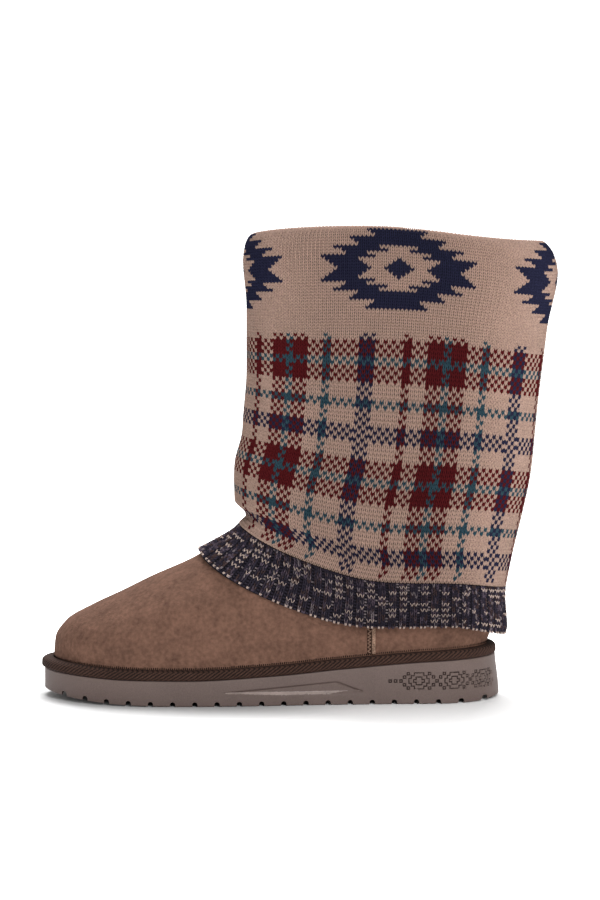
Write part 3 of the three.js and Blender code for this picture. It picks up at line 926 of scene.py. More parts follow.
@dataclass
class KnitSleeve:
    """The knitted sleeve: plaid and medallions, turned over the collar and down inside it."""

    form: BootForm
    effects: Effects
    chart: KnitChart = field(default_factory=KnitChart)
    turn_in_depth: float = 25.0
    plaid_top_front: float = 11.54
    plaid_top_back: float = 11.7
    plaid_top_side: float = 0.14
    profile_angles: int = 400
    ground_depth: float = 0.9
    # share that darkens the wall's yarns: painted shade between the stitches
    ground_painted_shade: float = 0.56

    def _turn_row(self) -> float:
        """Returns the row inside the shaft at which the turned-in part ends."""
        last = self.form.skin(COLLAR_ROW, 0.0)[2] - self.form.skin(COLLAR_ROW - 1, 0.0)[2]
        return COLLAR_ROW - self.turn_in_depth / last

    def _profile(self) -> tuple[Array, Array]:
        """Returns the outside's rings, from the band up and over into the shaft, and their rows."""
        form = self.form
        angles = turns_round(self.profile_angles)[None, :]
        rows = np.concatenate([np.linspace(BAND_TOP_ROW, 9, 28), np.linspace(9, COLLAR_ROW, 34)[1:]])
        outside = form.off_skin(rows[:, None], angles, form.knit_outside(rows[:, None], angles))
        outside[0, :, 2] += form.clearance
        inner = form.upper_wall + form.clearance
        middle = (form.clearance - inner) / 2.0
        half_roll = form.knit_wall + (form.clearance + inner) / 2.0
        turns = np.linspace(0.0, math.pi, 15)[1:-1][:, None]
        roll = form.off_skin(
            np.full_like(turns, COLLAR_ROW),
            angles,
            middle + half_roll * np.cos(turns),
            form.roll_height * np.sin(turns),
        )
        inside_rows = np.linspace(COLLAR_ROW, self._turn_row(), 9)[:, None]
        inside = form.off_skin(inside_rows, angles, -(inner + form.knit_wall))
        return form.round_top(np.concatenate([outside, roll, inside])), rows

    def surface(self) -> KnitSurface:
        """Returns the sleeve's knitted outside as wales and courses."""
        profile, rows = self._profile()
        chart = self.chart
        angles = turns_round(chart.wales * 2)
        to_back = 0.5 - 0.5 * np.cos(angles)
        plaid_row = blend(self.plaid_top_front, self.plaid_top_back, to_back)
        plaid_row = plaid_row + self.plaid_top_side * np.sin(angles) ** 2
        plaid_ring = np.interp(plaid_row, rows, np.arange(len(rows)))
        roll_top = len(rows) - 1 + 7
        knots = [
            (0.0, 0.0),
            (float(chart.plaid_courses), plaid_ring),
            (float(chart.plaid_courses + chart.border_courses), float(roll_top)),
            (float(chart.courses()), float(len(profile) - 1)),
        ]
        return KnitSurface.from_profile(profile, chart.wales, knots)

    def _ground(self, surface: KnitSurface, finishes: Array) -> MeshData:
        """Returns the closed wall under the stitches, coloured as they are, in darkened copies of their
        yarns: painted shade.
        """
        form = self.form
        chart = self.chart
        wale = np.arange(chart.wales)[None, :] - 0.5
        course = np.arange(chart.courses() + 1)[:, None]
        outside = surface.at(wale, course, -self.ground_depth)
        inner = form.upper_wall + form.clearance
        rows = np.concatenate([[self._turn_row(), COLLAR_ROW], np.linspace(COLLAR_ROW, BAND_TOP_ROW, 36)])
        turned_in = np.arange(len(rows))[:, None] < 2
        angles = self._even_angles(rows, chart.wales)
        away = np.where(turned_in, -inner, form.knit_inside(rows[:, None], angles))
        lift = np.zeros((len(rows), 1))
        lift[[1, 2, -1]] = form.clearance
        back = form.off_skin(rows[:, None], angles, away, lift)
        data = grid_data(np.concatenate([outside, back]), wrap_rows=True)
        colours = np.zeros((len(outside) + len(back), chart.wales), int)
        colours[: chart.courses()] = finishes
        data.finishes = colours.ravel()
        return data

    def _even_angles(self, rows: Array, wales: int) -> Array:
        """Returns, for each row, the angles that lie half a wale before each wale."""
        closed = np.append(turns_round(self.profile_angles), 2.0 * math.pi)
        result = np.empty((len(rows), wales))
        for index, row in enumerate(rows):
            line = self.form.skin(row, closed)
            length = running_length(np.linalg.norm(np.diff(line, axis=0), axis=-1))
            target = (np.arange(wales) - 0.5) / wales * length[-1]
            result[index] = np.interp(target % length[-1], length, closed)
        return result

    def build(self) -> None:
        """Makes the wall, the plaid's stitches and the border's stitches."""
        surface = self.surface()
        finishes = self.chart.finishes()
        materials = [YARN_FINISHES[name].build(self.effects) for name in Yarn]
        # The wall takes copies of the yarns darkened as painted shade for the gaps between the stitches.
        shaded = [with_painted_shade(YARN_FINISHES[name], self.ground_painted_shade).build(self.effects) for name in Yarn]
        add_piece("knit_sleeve_wall", self._ground(surface, finishes), shaded, ["knit_sleeve"])
        shape = StitchShape()
        split = self.chart.plaid_courses
        for name, low, high in (
            ("plaid_stitches", 0, split),
            ("border_stitches", split, self.chart.courses()),
        ):
            course, wale = np.mgrid[low:high, 0 : self.chart.wales]
            colours = finishes[low:high].ravel()
            place = (wale.ravel().astype(float), course.ravel().astype(float))
            data = stitch_data(surface, *place, colours, shape, base=-0.3)
            add_piece(name, data, materials)


@dataclass
class RibBand:
    """The ribbed band at the hem: two knit wales and a sunken gutter, in marled yarn."""

    form: BootForm
    effects: Effects
    ribs: int = 66
    courses: int = 16
    gutter_depth: float = 1.0
    gutter_share: float = 0.27
    fleck_share: float = 0.5
    # share that darkens the band's wall: painted shade under the stitches
    ground_painted_shade: float = 0.6
    lean: float = 0.04
    shade_shares: tuple[float, ...] = (0.56, 0.18, 0.2, 0.06)

    def _surface(self) -> KnitSurface:
        """Returns the band's outside, with a wale for every rib."""
        angles = turns_round(720)[None, :]
        rows = np.linspace(HEM_ROW, BAND_TOP_ROW, 24)[:, None]
        profile = self.form.off_skin(rows, angles, self.form.knit_outside(rows, angles))
        knots = [(0.0, 0.0), (float(self.courses), 23.0)]
        return KnitSurface.from_profile(profile, self.ribs, knots, fine=6, lean=self.lean)

    def _sink(self, place: Array) -> Array:
        """Returns how deep the gutter is at a place across the rib."""
        off = np.abs(np.mod(place, 1.0) - 0.5) - (0.5 - self.gutter_share / 2.0)
        return self.gutter_depth * ease(off, -0.07, 0.05)

    def _wall(self, surface: KnitSurface) -> MeshData:
        """Returns the closed wall under the stitches."""
        steps = 10
        place = (np.arange(self.ribs * steps) / steps)[None, :]
        course = np.linspace(0.0, self.courses, 16)[:, None]
        sunk = -self._sink(place) - 1.0
        rim = np.array([0.6, 0.25] + [0.0] * 12 + [0.1, 0.3])[:, None]
        outside = surface.at(place, course, sunk - rim)
        inside = surface.at(place, course, -self.form.knit_wall)
        return grid_data(np.concatenate([outside, inside[::-1]]), wrap_rows=True)

    def _flecks(self) -> Array:
        """Returns where the yarn's light ply comes to the front: every second course, in pairs."""
        rng = np.random.default_rng(41)
        draw = rng.uniform(0.0, 1.0, (self.courses, self.ribs))
        beside = np.roll(draw, 1, axis=1)
        light = np.minimum(draw, 0.55 + 0.45 * beside) < self.fleck_share
        light[1::2] = False
        return light

    def build(self) -> None:
        """Makes the wall and the stitches of the band."""
        surface = self._surface()
        materials = [RIB_FINISHES[name].build(self.effects) for name in RibYarn]
        # The band's wall takes the dark marl darkened as painted shade under the stitches.
        shaded = with_painted_shade(RIB_FINISHES[RibYarn.DARK], self.ground_painted_shade).build(self.effects)
        add_piece("rib_band_wall", self._wall(surface), [shaded], ["rib_band"])
        width = (1.0 - self.gutter_share) / 2.0
        course, rib = np.mgrid[0 : self.courses, 0 : self.ribs]
        course, rib = course.ravel().astype(float), rib.ravel().astype(float)
        flecks = self._flecks().ravel() & (course > 0)
        rng = np.random.default_rng(5)
        shades = np.array([RibYarn.DARK.value, RibYarn.DUSK.value, RibYarn.BARK.value, RibYarn.ASH.value])
        stitch = StitchShape(foot_gap=0.08, head_gap=0.4, half_width=0.15)
        fleck = StitchShape(
            foot_gap=0.05, head_gap=0.46, foot=-0.1, head=1.25, half_width=0.085, crest=0.75, sunk=0.1
        )
        drop = StitchShape(foot_gap=0.1, head_gap=0.2, foot=-0.2, head=0.9, half_width=0.15, crest=0.9)
        gutter = StitchShape(foot_gap=0.16, head_gap=0.22, foot=0.1, head=0.8, half_width=0.2, crest=0.35)
        parts = []
        hem = course == 0
        for number in range(2):
            middle = rib + 0.5 + (number - 0.5) * width
            inner = shades[rng.choice(4, len(rib), p=self.shade_shares)]
            outer = shades[rng.choice(4, len(rib), p=self.shade_shares)]
            parts.append(stitch_data(surface, middle, course, inner, stitch, -0.3, width, outer))
            light = flecks & (rng.uniform(0.0, 1.0, len(rib)) < 0.92)
            coat = np.full(int(light.sum()), RibYarn.FLECK.value)
            parts.append(stitch_data(surface, middle[light], course[light], coat, fleck, 0.0, width))
            pale = rng.uniform(0.0, 1.0, hem.sum()) < 0.8
            coat = np.where(pale, RibYarn.FLECK.value, RibYarn.DUSK.value)
            parts.append(stitch_data(surface, middle[hem], course[hem], coat, drop, 0.1, width))
        tick = rng.uniform(0.0, 1.0, len(rib)) < 0.22
        coat = np.where(tick, RibYarn.ASH.value, RibYarn.DARK.value)
        depth, width = -self.gutter_depth, self.gutter_share
        parts.append(stitch_data(surface, rib, course, coat, gutter, depth, width))
        add_piece("rib_band_stitches", MeshData.join(parts), materials)


# Sole and binding


@dataclass
class Outsole:
    """The moulded sole: grooved tread, recessed sides and a stamped ornament at the heel."""

    form: BootForm
    effects: Effects
    edge_round: float = 0.45
    top_round: float = 0.7
    heel_flare: float = 2.4
    groove_pitch: float = 13.1
    groove_width: float = 3.2
    groove_depth: float = 2.75
    grooves_ahead: int = 18
    grooves_behind: int = 2
    recess_depth: float = 1.4
    recess_floor: float = 8.2
    ledge_tall: float = 2.4
    recess_tall: float = 5.6
    recess_back: float = 52.0
    recess_peak: float = 67.0
    recess_front: float = 133.0
    stamp_depth: float = 0.6
    stamp_line: float = 0.42
    stamp_middle: float = 13.7
    stamp_spacing: float = 21.4
    stamp_first: float = 18.2
    wall_shares: Array = field(default_factory=lambda: np.concatenate([
        [0.0, 0.012, 0.035, 0.075], np.linspace(0.13, 0.29, 5), np.linspace(0.305, 0.79, 42),
        [0.84, 0.89, 0.93, 0.965, 0.985, 1.0],
    ]))

    def _stations(self) -> Array:
        """Returns the places along X where the sole is cut, closer together at its details."""
        form = self.form
        front = form.place_along(1.0)
        turn = np.linspace(0.02, math.pi - 0.02, 120)
        places = [blend(-form.heel_reach, front, 0.5 + 0.5 * np.cos(turn))]
        half = self.groove_width / 2.0
        for index in range(-self.grooves_behind, self.grooves_ahead):
            middle = (index + 0.5) * self.groove_pitch
            offsets = np.array([-half - 0.02, -half, -half * 0.85, -half * 0.5, 0.0])
            places.append(middle + np.concatenate([offsets, -offsets[:-1]]))
        fine = np.linspace(-form.heel_reach, 45.0, 4000)
        places.append(np.interp(np.arange(-36.0, 39.0, 0.28), self._girth(fine), fine))
        places.append(np.arange(self.recess_back - 2.0, self.recess_front + 2.0, 1.4))
        joined = np.unique(np.round(np.concatenate(places), 3))
        kept = joined[(joined > -form.heel_reach + 0.02) & (joined < front - 0.02)]
        apart = np.concatenate([[True], np.diff(kept) > 0.015])
        return kept[apart][::-1]

    def _groove(self, x: Array) -> Array:
        """Returns how high a cross groove cuts into the tread at a place."""
        half = self.groove_width / 2.0
        index = np.floor(x / self.groove_pitch)
        off = np.abs(x - (index + 0.5) * self.groove_pitch)
        inside = (off <= half + 1e-6) & (index >= -self.grooves_behind) & (index < self.grooves_ahead)
        dome = np.sqrt(np.clip(half**2 - off**2, 0.0, None))
        return np.where(inside, self.groove_depth - half + dome, 0.0)

    def _recess(self, x: Array, z: Array) -> Array:
        """Returns how deep the wedge-shaped recess is at a point of the side."""
        top = np.where(
            x < self.recess_peak,
            (x - self.recess_back) / (self.recess_peak - self.recess_back),
            (self.recess_front - x) / (self.recess_front - self.recess_peak),
        )
        top = self.recess_floor + self.recess_tall * np.clip(top, -1.0, 1.0)
        tall = self.ledge_tall * (0.4 + 0.6 * ease(self.recess_front - x, 0.0, 35.0))
        ledge = ease(z, self.recess_floor - tall, self.recess_floor + 0.2)
        inside = ledge * (1.0 - ease(z, top - 0.8, top + 0.4))
        ends = (x > self.recess_back) & (x < self.recess_front)
        return np.where(ends, self.recess_depth * inside, 0.0)

    def _girth(self, x: Array) -> Array:
        """Returns places along the side, measured round the heel's bend behind the first diamond."""
        form = self.form
        start = math.acos(2.0 * (self.stamp_first + form.heel_reach) / form.sole_length - 1.0)
        angle = np.linspace(start, math.pi, 2000)
        edge_x, edge_y = form.outline(angle, -form.heel_reach, form.place_along(1.0), form.ball_half_width)
        length = running_length(np.hypot(np.diff(edge_x), np.diff(edge_y)))
        return np.where(x > edge_x[0], x, np.interp(x, edge_x[::-1], (edge_x[0] - length)[::-1]))

    def _stamp(self, x: Array, z: Array) -> Array:
        """Returns how deep the stamped ornament is: stepped diamonds between small squares."""
        line = np.zeros(np.broadcast(x, z).shape)

        def outline(distance: Array) -> None:
            """Adds a stamped line where the distance to a form's edge is small."""
            np.maximum(line, 1.0 - ease(np.abs(distance), self.stamp_line * 0.3, self.stamp_line), out=line)

        def box_distance(middle_x: float, half_x: float, half_z: float) -> Array:
            """Returns the distance to a rectangle's edge, negative inside it."""
            return np.maximum(np.abs(x - middle_x) - half_x, np.abs(z - self.stamp_middle) - half_z)

        for number in range(3):
            middle = self.stamp_first - number * self.stamp_spacing
            steps = ((6.0, 1.4), (4.6, 3.1), (2.8, 4.8))
            outline(np.minimum.reduce([box_distance(middle, a, b) for a, b in steps]))
            steps = ((3.2, 0.8), (1.7, 2.3))
            outline(np.minimum.reduce([box_distance(middle, a, b) for a, b in steps]))
            for side_x in (-1, 1):
                for side_z in (-1, 1):
                    for along, up in ((6.3, 4.3), (8.6, 2.3)):
                        square_x = np.abs(x - middle - side_x * along)
                        square_z = np.abs(z - self.stamp_middle - side_z * up)
                        outline(np.maximum(square_x, square_z) - 0.72)
            outline(box_distance(middle + self.stamp_spacing / 2.0, 0.72, 0.72))
        for number in range(2):
            outline(box_distance(self.stamp_first + 13.9 + number * 3.2, 0.72, 0.72))
        return self.stamp_depth * line

    def _side(self, x: Array, low: Array, side: int) -> Array:
        """Returns a side wall's points, stations by rows from the tread up."""
        form = self.form
        share = self.wall_shares
        top = form.sole_top(x)
        z = low[:, None] + (top - low)[:, None] * share[None, :]
        inset = rounding(z - form.sole_bottom(x)[:, None], self.edge_round)
        inset = inset + rounding(top[:, None] - z, self.top_round)
        along = 2.0 * (x + form.heel_reach) / form.sole_length - 1.0
        angle = side * np.arccos(np.clip(along, -1.0, 1.0))
        front = form.place_along(1.0)
        outer_x, outer_y = form.outline(angle, -form.heel_reach, front, form.ball_half_width)
        step = 1e-3
        ahead = form.outline(angle - side * step, -form.heel_reach, front, form.ball_half_width)
        behind = form.outline(angle + side * step, -form.heel_reach, front, form.ball_half_width)
        tangent = np.stack([ahead[0] - behind[0], ahead[1] - behind[1]], axis=-1)
        tangent = tangent / np.linalg.norm(tangent, axis=-1, keepdims=True)
        out = np.stack([-tangent[:, 1], tangent[:, 0]], axis=-1) * side
        depth = inset + self._recess(x[:, None], z) + self._stamp(self._girth(x)[:, None], z)
        flare = self.heel_flare * (1.0 - ease(x, -form.heel_reach, form.place_along(0.12)))[:, None]
        flare = flare * (1.0 - ease(share, 0.0, 1.15))[None, :]
        px = outer_x[:, None] - out[:, :1] * depth - flare
        py = outer_y[:, None] - out[:, 1:] * depth
        return np.stack([px, py, z], axis=-1)

    def build(self) -> None:
        """Makes the sole as one closed loop of points at every station."""
        form = self.form
        x = self._stations()
        low = form.sole_bottom(x) + self._groove(x)
        lateral = self._side(x, low, 1)
        medial = self._side(x, low, -1)
        across = np.linspace(0.0, 1.0, 26)[1:-1][None, :, None]
        bottom = blend(medial[:, :1], lateral[:, :1], across)
        sipe = np.cos((bottom[:, :, 1] + 3.0 * np.sin(bottom[:, :, 0] * 0.48)) * 2.0 * math.pi / 8.5)
        edge = ease(np.minimum(across[..., 0], 1.0 - across[..., 0]), 0.05, 0.12)
        bottom[:, :, 2] += 0.55 * ease(sipe, 0.86, 0.97) * edge * (self._groove(x)[:, None] == 0.0)
        across = np.linspace(0.0, 1.0, 8)[1:-1][None, :, None]
        top = blend(lateral[:, -1:], medial[:, -1:], across)
        loops = np.concatenate([lateral, top, medial[:, ::-1], bottom], axis=1)
        ends = [loops[:1].copy(), loops[-1:].copy()]
        for end in ends:
            end[..., 1] = end[..., 1].mean()
        data = grid_data(np.concatenate([ends[0], loops, ends[1]]))
        middle = data.points[data.faces].mean(axis=1)
        # Faces deep in the stamped lines take the darker foam: painted shade.
        stamped = self._stamp(self._girth(middle[:, 0]), middle[:, 2]) > 0.55 * self.stamp_depth
        sunk = self._recess(middle[:, 0], middle[:, 2]) / self.recess_depth
        # Faces of the recess's lower ledge take the lighter foam: a painted highlight.
        ledge = (sunk > 0.15) & (sunk < 0.98) & (middle[:, 2] < self.recess_floor + 0.2)
        taper = ease(middle[:, 0], self.recess_back + 6.0, self.recess_peak + 12.0)
        ledge &= middle[:, 2] > self.recess_floor - self.ledge_tall * taper
        data.finishes = np.where(stamped, 1, np.where(ledge & (np.abs(middle[:, 1]) > 22.0), 2, 0))
        coats = [FOAM.build(self.effects), FOAM_STAMP_SHADE.build(self.effects), FOAM_LEDGE_HIGHLIGHT.build(self.effects)]
        add_piece("sole", data, coats, ["outsole"], sharp=38.0)


@dataclass
class Binding:
    """The woven tape round the sole's edge, with herringbone ribs and a row of short stitches."""

    form: BootForm
    effects: Effects
    height: float = 6.0
    overhang: float = 0.7
    rib_pitch: float = 3.0
    rib_depth: float = 0.4
    rib_slant: float = 5.6
    rib_turn: float = 0.7
    toe_swell: float = 1.2
    stitch_pitch: float = 1.3
    stations: int = 3200

    def _ring_angles(self, count: int) -> tuple[Array, Array]:
        """Returns angles that lie evenly round the sole's edge, and their distance round it."""
        fine = np.linspace(0.0, 2.0 * math.pi, 4001)
        form = self.form
        x, y = form.outline(fine, -form.heel_reach, form.place_along(1.0), form.ball_half_width)
        length = running_length(np.hypot(np.diff(x), np.diff(y)))
        target = np.arange(count) / count * length[-1]
        return np.interp(target, length, fine), target

    def build(self) -> None:
        """Makes the tape and its stitches."""
        form = self.form
        angles, distance = self._ring_angles(self.stations)
        turns = SmoothColumn([0, 0.18, 0.36, 0.6, 0.82, 1.0], [0.0, 0.8, 0.985, 0.97, 0.6, 0.0])
        ups = SmoothColumn([0, 0.18, 0.36, 0.6, 0.82, 1.0], [0.0, 0.0, 0.17, 0.62, 0.96, 1.0])
        share = np.linspace(0.0, 1.0, 22)[:, None]
        reach, up = turns(share), ups(share)
        grow = self.overhang
        front = form.place_along(1.0) + grow + self.toe_swell
        edge_x, edge_y = form.outline(angles, -form.heel_reach - grow, front, form.ball_half_width + grow)
        wall = form.off_skin(up * BINDING_TOP_ROW, angles[None, :], form.clearance)
        count = round(distance[-1] / self.rib_pitch)
        phase = distance / (distance[-1] + distance[1]) * count
        slant = np.abs(share - self.rib_turn) * self.rib_slant
        side = np.where(np.sin(angles) < 0.0, -1.0, 1.0)
        off = np.abs(np.mod(phase[None, :] + side * slant, 1.0) - 0.5) * 2.0
        rib = -self.rib_depth * ease(off, 0.45, 0.95) * bump_between(share, 0.1, 0.5, 0.97)
        x = blend(wall[..., 0], edge_x[None, :], reach)
        y = blend(wall[..., 1], edge_y[None, :], reach)
        away = np.stack([edge_x - wall[0, :, 0], edge_y - wall[0, :, 1]], axis=-1)
        away = away / np.linalg.norm(away, axis=-1, keepdims=True)
        z = form.sole_top(x) + form.clearance + up * self.height
        lift = ease(share, 0.5, 0.95)
        flat = rib * (1 - lift)
        points = np.stack([x + away[:, 0] * flat, y + away[:, 1] * flat, z + rib * lift], axis=-1)
        data = grid_data(points, wrap_rows=True)
        # Faces deep between the ribs take the darker tape: painted shade in the grooves.
        groove = (off > 0.58) & (share > 0.06) & (share < 0.97)
        data.finishes = groove.astype(int).ravel()
        tape, dark = TAPE.build(self.effects), TAPE_SHADE_AND_THREAD.build(self.effects)
        add_piece("binding_tape", data, [tape, dark], ["binding"])
        self._stitches(dark)

    def _stitches(self, tape: bpy.types.Material) -> None:
        """Makes the short upright stitches that hold the tape to the suede."""
        form = self.form
        total = self._ring_angles(8)[1][1] * 8
        count = round(total / self.stitch_pitch)
        angles, _ = self._ring_angles(count)
        rng = np.random.default_rng(12)
        long = rng.uniform(0.75, 1.25, count)
        step = 2.0 * math.pi / 700.0
        offsets = np.array([[0, -0.3, 0.0], [-0.3, 0.1, 0.1], [0, 0.1, 0.55], [0.3, 0.1, 0.1],
                            [-0.3, 0.8, 0.0], [0, 0.8, 0.4], [0.3, 0.8, 0.0], [0, 1.2, -0.1]])
        row = BINDING_TOP_ROW + offsets[None, :, 1] * 0.14 * long[:, None]
        angle = angles[:, None] + offsets[None, :, 0] * step
        points = form.off_skin(row, angle, 0.05 + offsets[None, :, 2] * 0.7)
        first = np.arange(count) * len(offsets)
        faces = (first[:, None, None] + LEG_FACES).reshape(-1, 3)
        local = offsets[:, :2] * [0.4, 0.5] + [0.5, 0.2]
        uv = np.stack([(np.arange(count)[:, None] + local[None, :, 0]) / count,
                       np.broadcast_to(local[None, :, 1], (count, len(offsets)))], axis=-1)
        data = MeshData(points.reshape(-1, 3), faces, uv.reshape(-1, 2)[faces], np.zeros(len(faces), int))
        add_piece("binding_stitches", data, [tape])


# Upper, seams, lining and insole


@dataclass
class SuedeUpper:
    """The suede wall of foot and shaft, with its soft hollows and raised side seams."""

    form: BootForm
    effects: Effects
    columns: int = 240
    seam_ahead: float = 46.5
    seam_width: float = 5.0

    def _relief(self, row: Array, angle: Array) -> Array:
        """Returns the suede's soft unevenness and creases over the plain skin."""
        points = self.form.skin(row, angle)
        x, z = points[..., 0], points[..., 2]
        side = np.sin(angle)
        swell = 0.28 * np.sin(x * 0.043 + 1.3 * side) * np.sin(z * 0.11 + side * 2.0)
        swell = swell + 0.14 * np.sin(x * 0.11 + z * 0.19 + side) * np.sin(z * 0.23 - x * 0.05)
        fade = ease(row, 1.0, 2.2) * (1.0 - ease(row, 5.6, 6.0))
        crease = -0.5 * bump_between(x + z * 0.35, 146.0, 152.0, 158.0) * np.cos(angle).clip(0) ** 4
        return (swell + crease) * fade

    def _wall(self) -> MeshData:
        """Returns the closed wall: outside up to the collar and inside down again."""
        form = self.form
        angles = turns_round(self.columns)[None, :]
        rows = np.concatenate([np.linspace(0, 2, 16), np.linspace(2, 6, 49)[1:], np.linspace(6, 8, 11)[1:],
                               np.linspace(8, COLLAR_ROW, 12)[1:]])[:, None]
        outside = form.off_skin(rows, angles, self._relief(rows, angles))
        rows = rows[::-1][::2]
        inside = form.off_skin(rows, angles, -form.upper_wall)
        return grid_data(np.concatenate([outside, inside]), wrap_rows=True)

    def _seam_angle(self, row: Array, x: Array, side: int) -> Array:
        """Returns the angle at which a row passes a place along X."""
        form = self.form
        back = form.place_along(form.rows["back"](row))
        front = form.place_along(form.rows["front"](row))
        return side * np.arccos(2.0 * (x - back) / (front - back) - 1.0)

    def _seam_roll(self, side: int) -> MeshData:
        """Returns the raised roll beside the seam and its flat bed."""
        form = self.form
        rows = np.linspace(0.86, 5.75, 42)[:, None]
        half = self.seam_width / 2.0
        across = np.array([-1.0, -0.95, -0.8, -0.55, -0.3, -0.12, 0.0, 0.1, 0.3, 0.55, 0.8, 0.95, 1.0])
        height = np.array([0.1, 0.9, 1.5, 1.75, 1.55, 0.95, 0.15, 0.1, 0.1, 0.12, 0.45, 0.4, 0.1])
        x = self.seam_ahead + across * half
        angle = self._seam_angle(rows, x, side)
        pucker = 1.0 + 0.12 * np.sin(rows * 14.0)
        top = form.off_skin(rows, angle, height * pucker + form.clearance * 0.4)
        base = form.off_skin(rows, angle, -0.4)
        loop = np.concatenate([top, base[:, ::-1]], axis=1)
        loop = loop if side < 0 else loop[:, ::-1]
        data = capped_data(loop)
        middle = data.points[data.faces].mean(axis=1)
        data.finishes = np.where(middle[:, 0] > self.seam_ahead - 0.2, 1, 0)
        return data

    def _zigzag(self, side: int) -> MeshData:
        """Returns the zigzag thread in the seam's channel."""
        form = self.form
        turns = 17
        rows = np.linspace(0.95, 5.7, turns)
        swing = np.where(np.arange(turns) % 2 == 0, 0.12, 0.86)
        fine = np.linspace(0, turns - 1, turns * 6)
        row = np.interp(fine, np.arange(turns), rows)
        x = self.seam_ahead + np.interp(fine, np.arange(turns), swing) * self.seam_width / 2.0
        angle = self._seam_angle(row, x, side)
        line = form.off_skin(row, angle, 0.55)
        out = form.normal(row, angle)
        forward = np.gradient(line, axis=0)
        forward = forward / np.linalg.norm(forward, axis=-1, keepdims=True)
        beside = np.cross(out, forward)
        turn = np.arange(6) * math.pi / 3.0
        ring = beside[:, None] * np.cos(turn)[None, :, None] + out[:, None] * np.sin(turn)[None, :, None]
        points = line[:, None] + ring[:, ::-1] * 0.32
        ends = [np.broadcast_to(line[k], points[:1].shape) for k in (0, -1)]
        return grid_data(np.concatenate([ends[0], points, ends[1]]))

    def build(self) -> None:
        """Makes the upper and both side seams."""
        suede = SUEDE.build(self.effects)
        thread = SEAM_THREAD.build(self.effects)
        bed = SEAM_BED.build(self.effects)
        roll = SEAM_ROLL.build(self.effects)
        add_piece("suede_upper", self._wall(), [suede], ["upper"])
        for name, side in (("lateral", 1), ("medial", -1)):
            solid = [f"side_seam_{name}"]
            add_piece(f"seam_roll_{name}", self._seam_roll(side), [roll, bed], solid)
            add_piece(f"seam_zigzag_{name}", self._zigzag(side), [thread])


@dataclass
class Lining:
    """The fleece inside the upper and on the insole."""

    form: BootForm
    effects: Effects
    thickness: float = 1.6
    insole_thickness: float = 4.0
    columns: int = 180

    def build(self) -> None:
        """Makes the lining and the insole."""
        form = self.form
        fleece = FLEECE.build(self.effects)
        angles = turns_round(self.columns)[None, :]
        rows = np.linspace(1.0, 12.3, 90)[:, None]
        tuft = np.sin(angles * 97.0 + rows * 31.0) * np.sin(rows * 47.0 + angles * 13.0)
        depth = form.upper_wall + form.clearance
        outer = form.off_skin(rows, angles, -depth)
        inner = form.off_skin(rows, angles, -depth - self.thickness + 0.3 * tuft)
        data = grid_data(np.concatenate([outer, inner[::-1]]), wrap_rows=True)
        add_piece("fleece_lining", data, [fleece])
        self._insole(fleece)

    def _insole(self, fleece: bpy.types.Material) -> None:
        """Makes the insole: a soft pad with a rounded edge."""
        form = self.form
        turn = np.linspace(0.03, math.pi - 0.03, 140)
        sides = []
        for side in (1, -1):
            away = -(form.upper_wall + form.clearance + 0.1)
            sides.append(form.off_skin(0.0, side * turn, away))
        across = np.linspace(0.0, 1.0, 40)
        edge = 1.0 - np.clip(np.minimum(across, 1.0 - across) / 0.06, 0.0, 1.0)
        crown = np.sqrt(1.0 - edge**2)[None, :]
        lateral, medial = sides
        flat = blend(lateral[:, None], medial[:, None], across[None, :, None])
        floor = form.sole_top(flat[..., 0]) + form.clearance
        end = np.sqrt(1.0 - (1.0 - np.clip(np.sin(turn) / 0.25, 0.0, 1.0)) ** 2)[:, None]
        tuft = 0.2 * np.sin(flat[..., 0] * 2.3) * np.sin(flat[..., 1] * 2.1 + flat[..., 0] * 0.7)
        top = np.dstack([flat[..., :2], floor + self.insole_thickness * crown * end + tuft * crown * end])
        base = np.dstack([flat[..., :2], floor])
        loop = np.concatenate([top, base[:, ::-1][:, 1:-1]], axis=1)
        add_piece("fleece_insole", capped_data(loop), [fleece], ["insole"])


# Stage


def facing(place: Sequence[float], focus: Sequence[float]) -> tuple[float, float, float]:
    """Returns the rotation that turns a camera or a light at a place to a point."""
    toward = np.array(focus) - np.array(place)
    tilt = math.atan2(toward[2], math.hypot(toward[0], toward[1]))
    return (math.pi / 2.0 + tilt, 0.0, math.atan2(toward[1], toward[0]) - math.pi / 2.0)


@dataclass(frozen=True)
class Lamp:
    """A square soft light: where it stands and its side in metres, and its strength in watts."""

    name: str
    place: tuple[float, float, float]
    side: float
    power: float


LAMPS = (
    Lamp("key", place=(-0.62, 1.85, 1.0), side=0.8, power=31.0),
    Lamp("back", place=(0.05, -0.75, 1.5), side=1.0, power=26.0),
    Lamp("toe", place=(0.4, -0.6, 1.1), side=0.5, power=8.0),
)


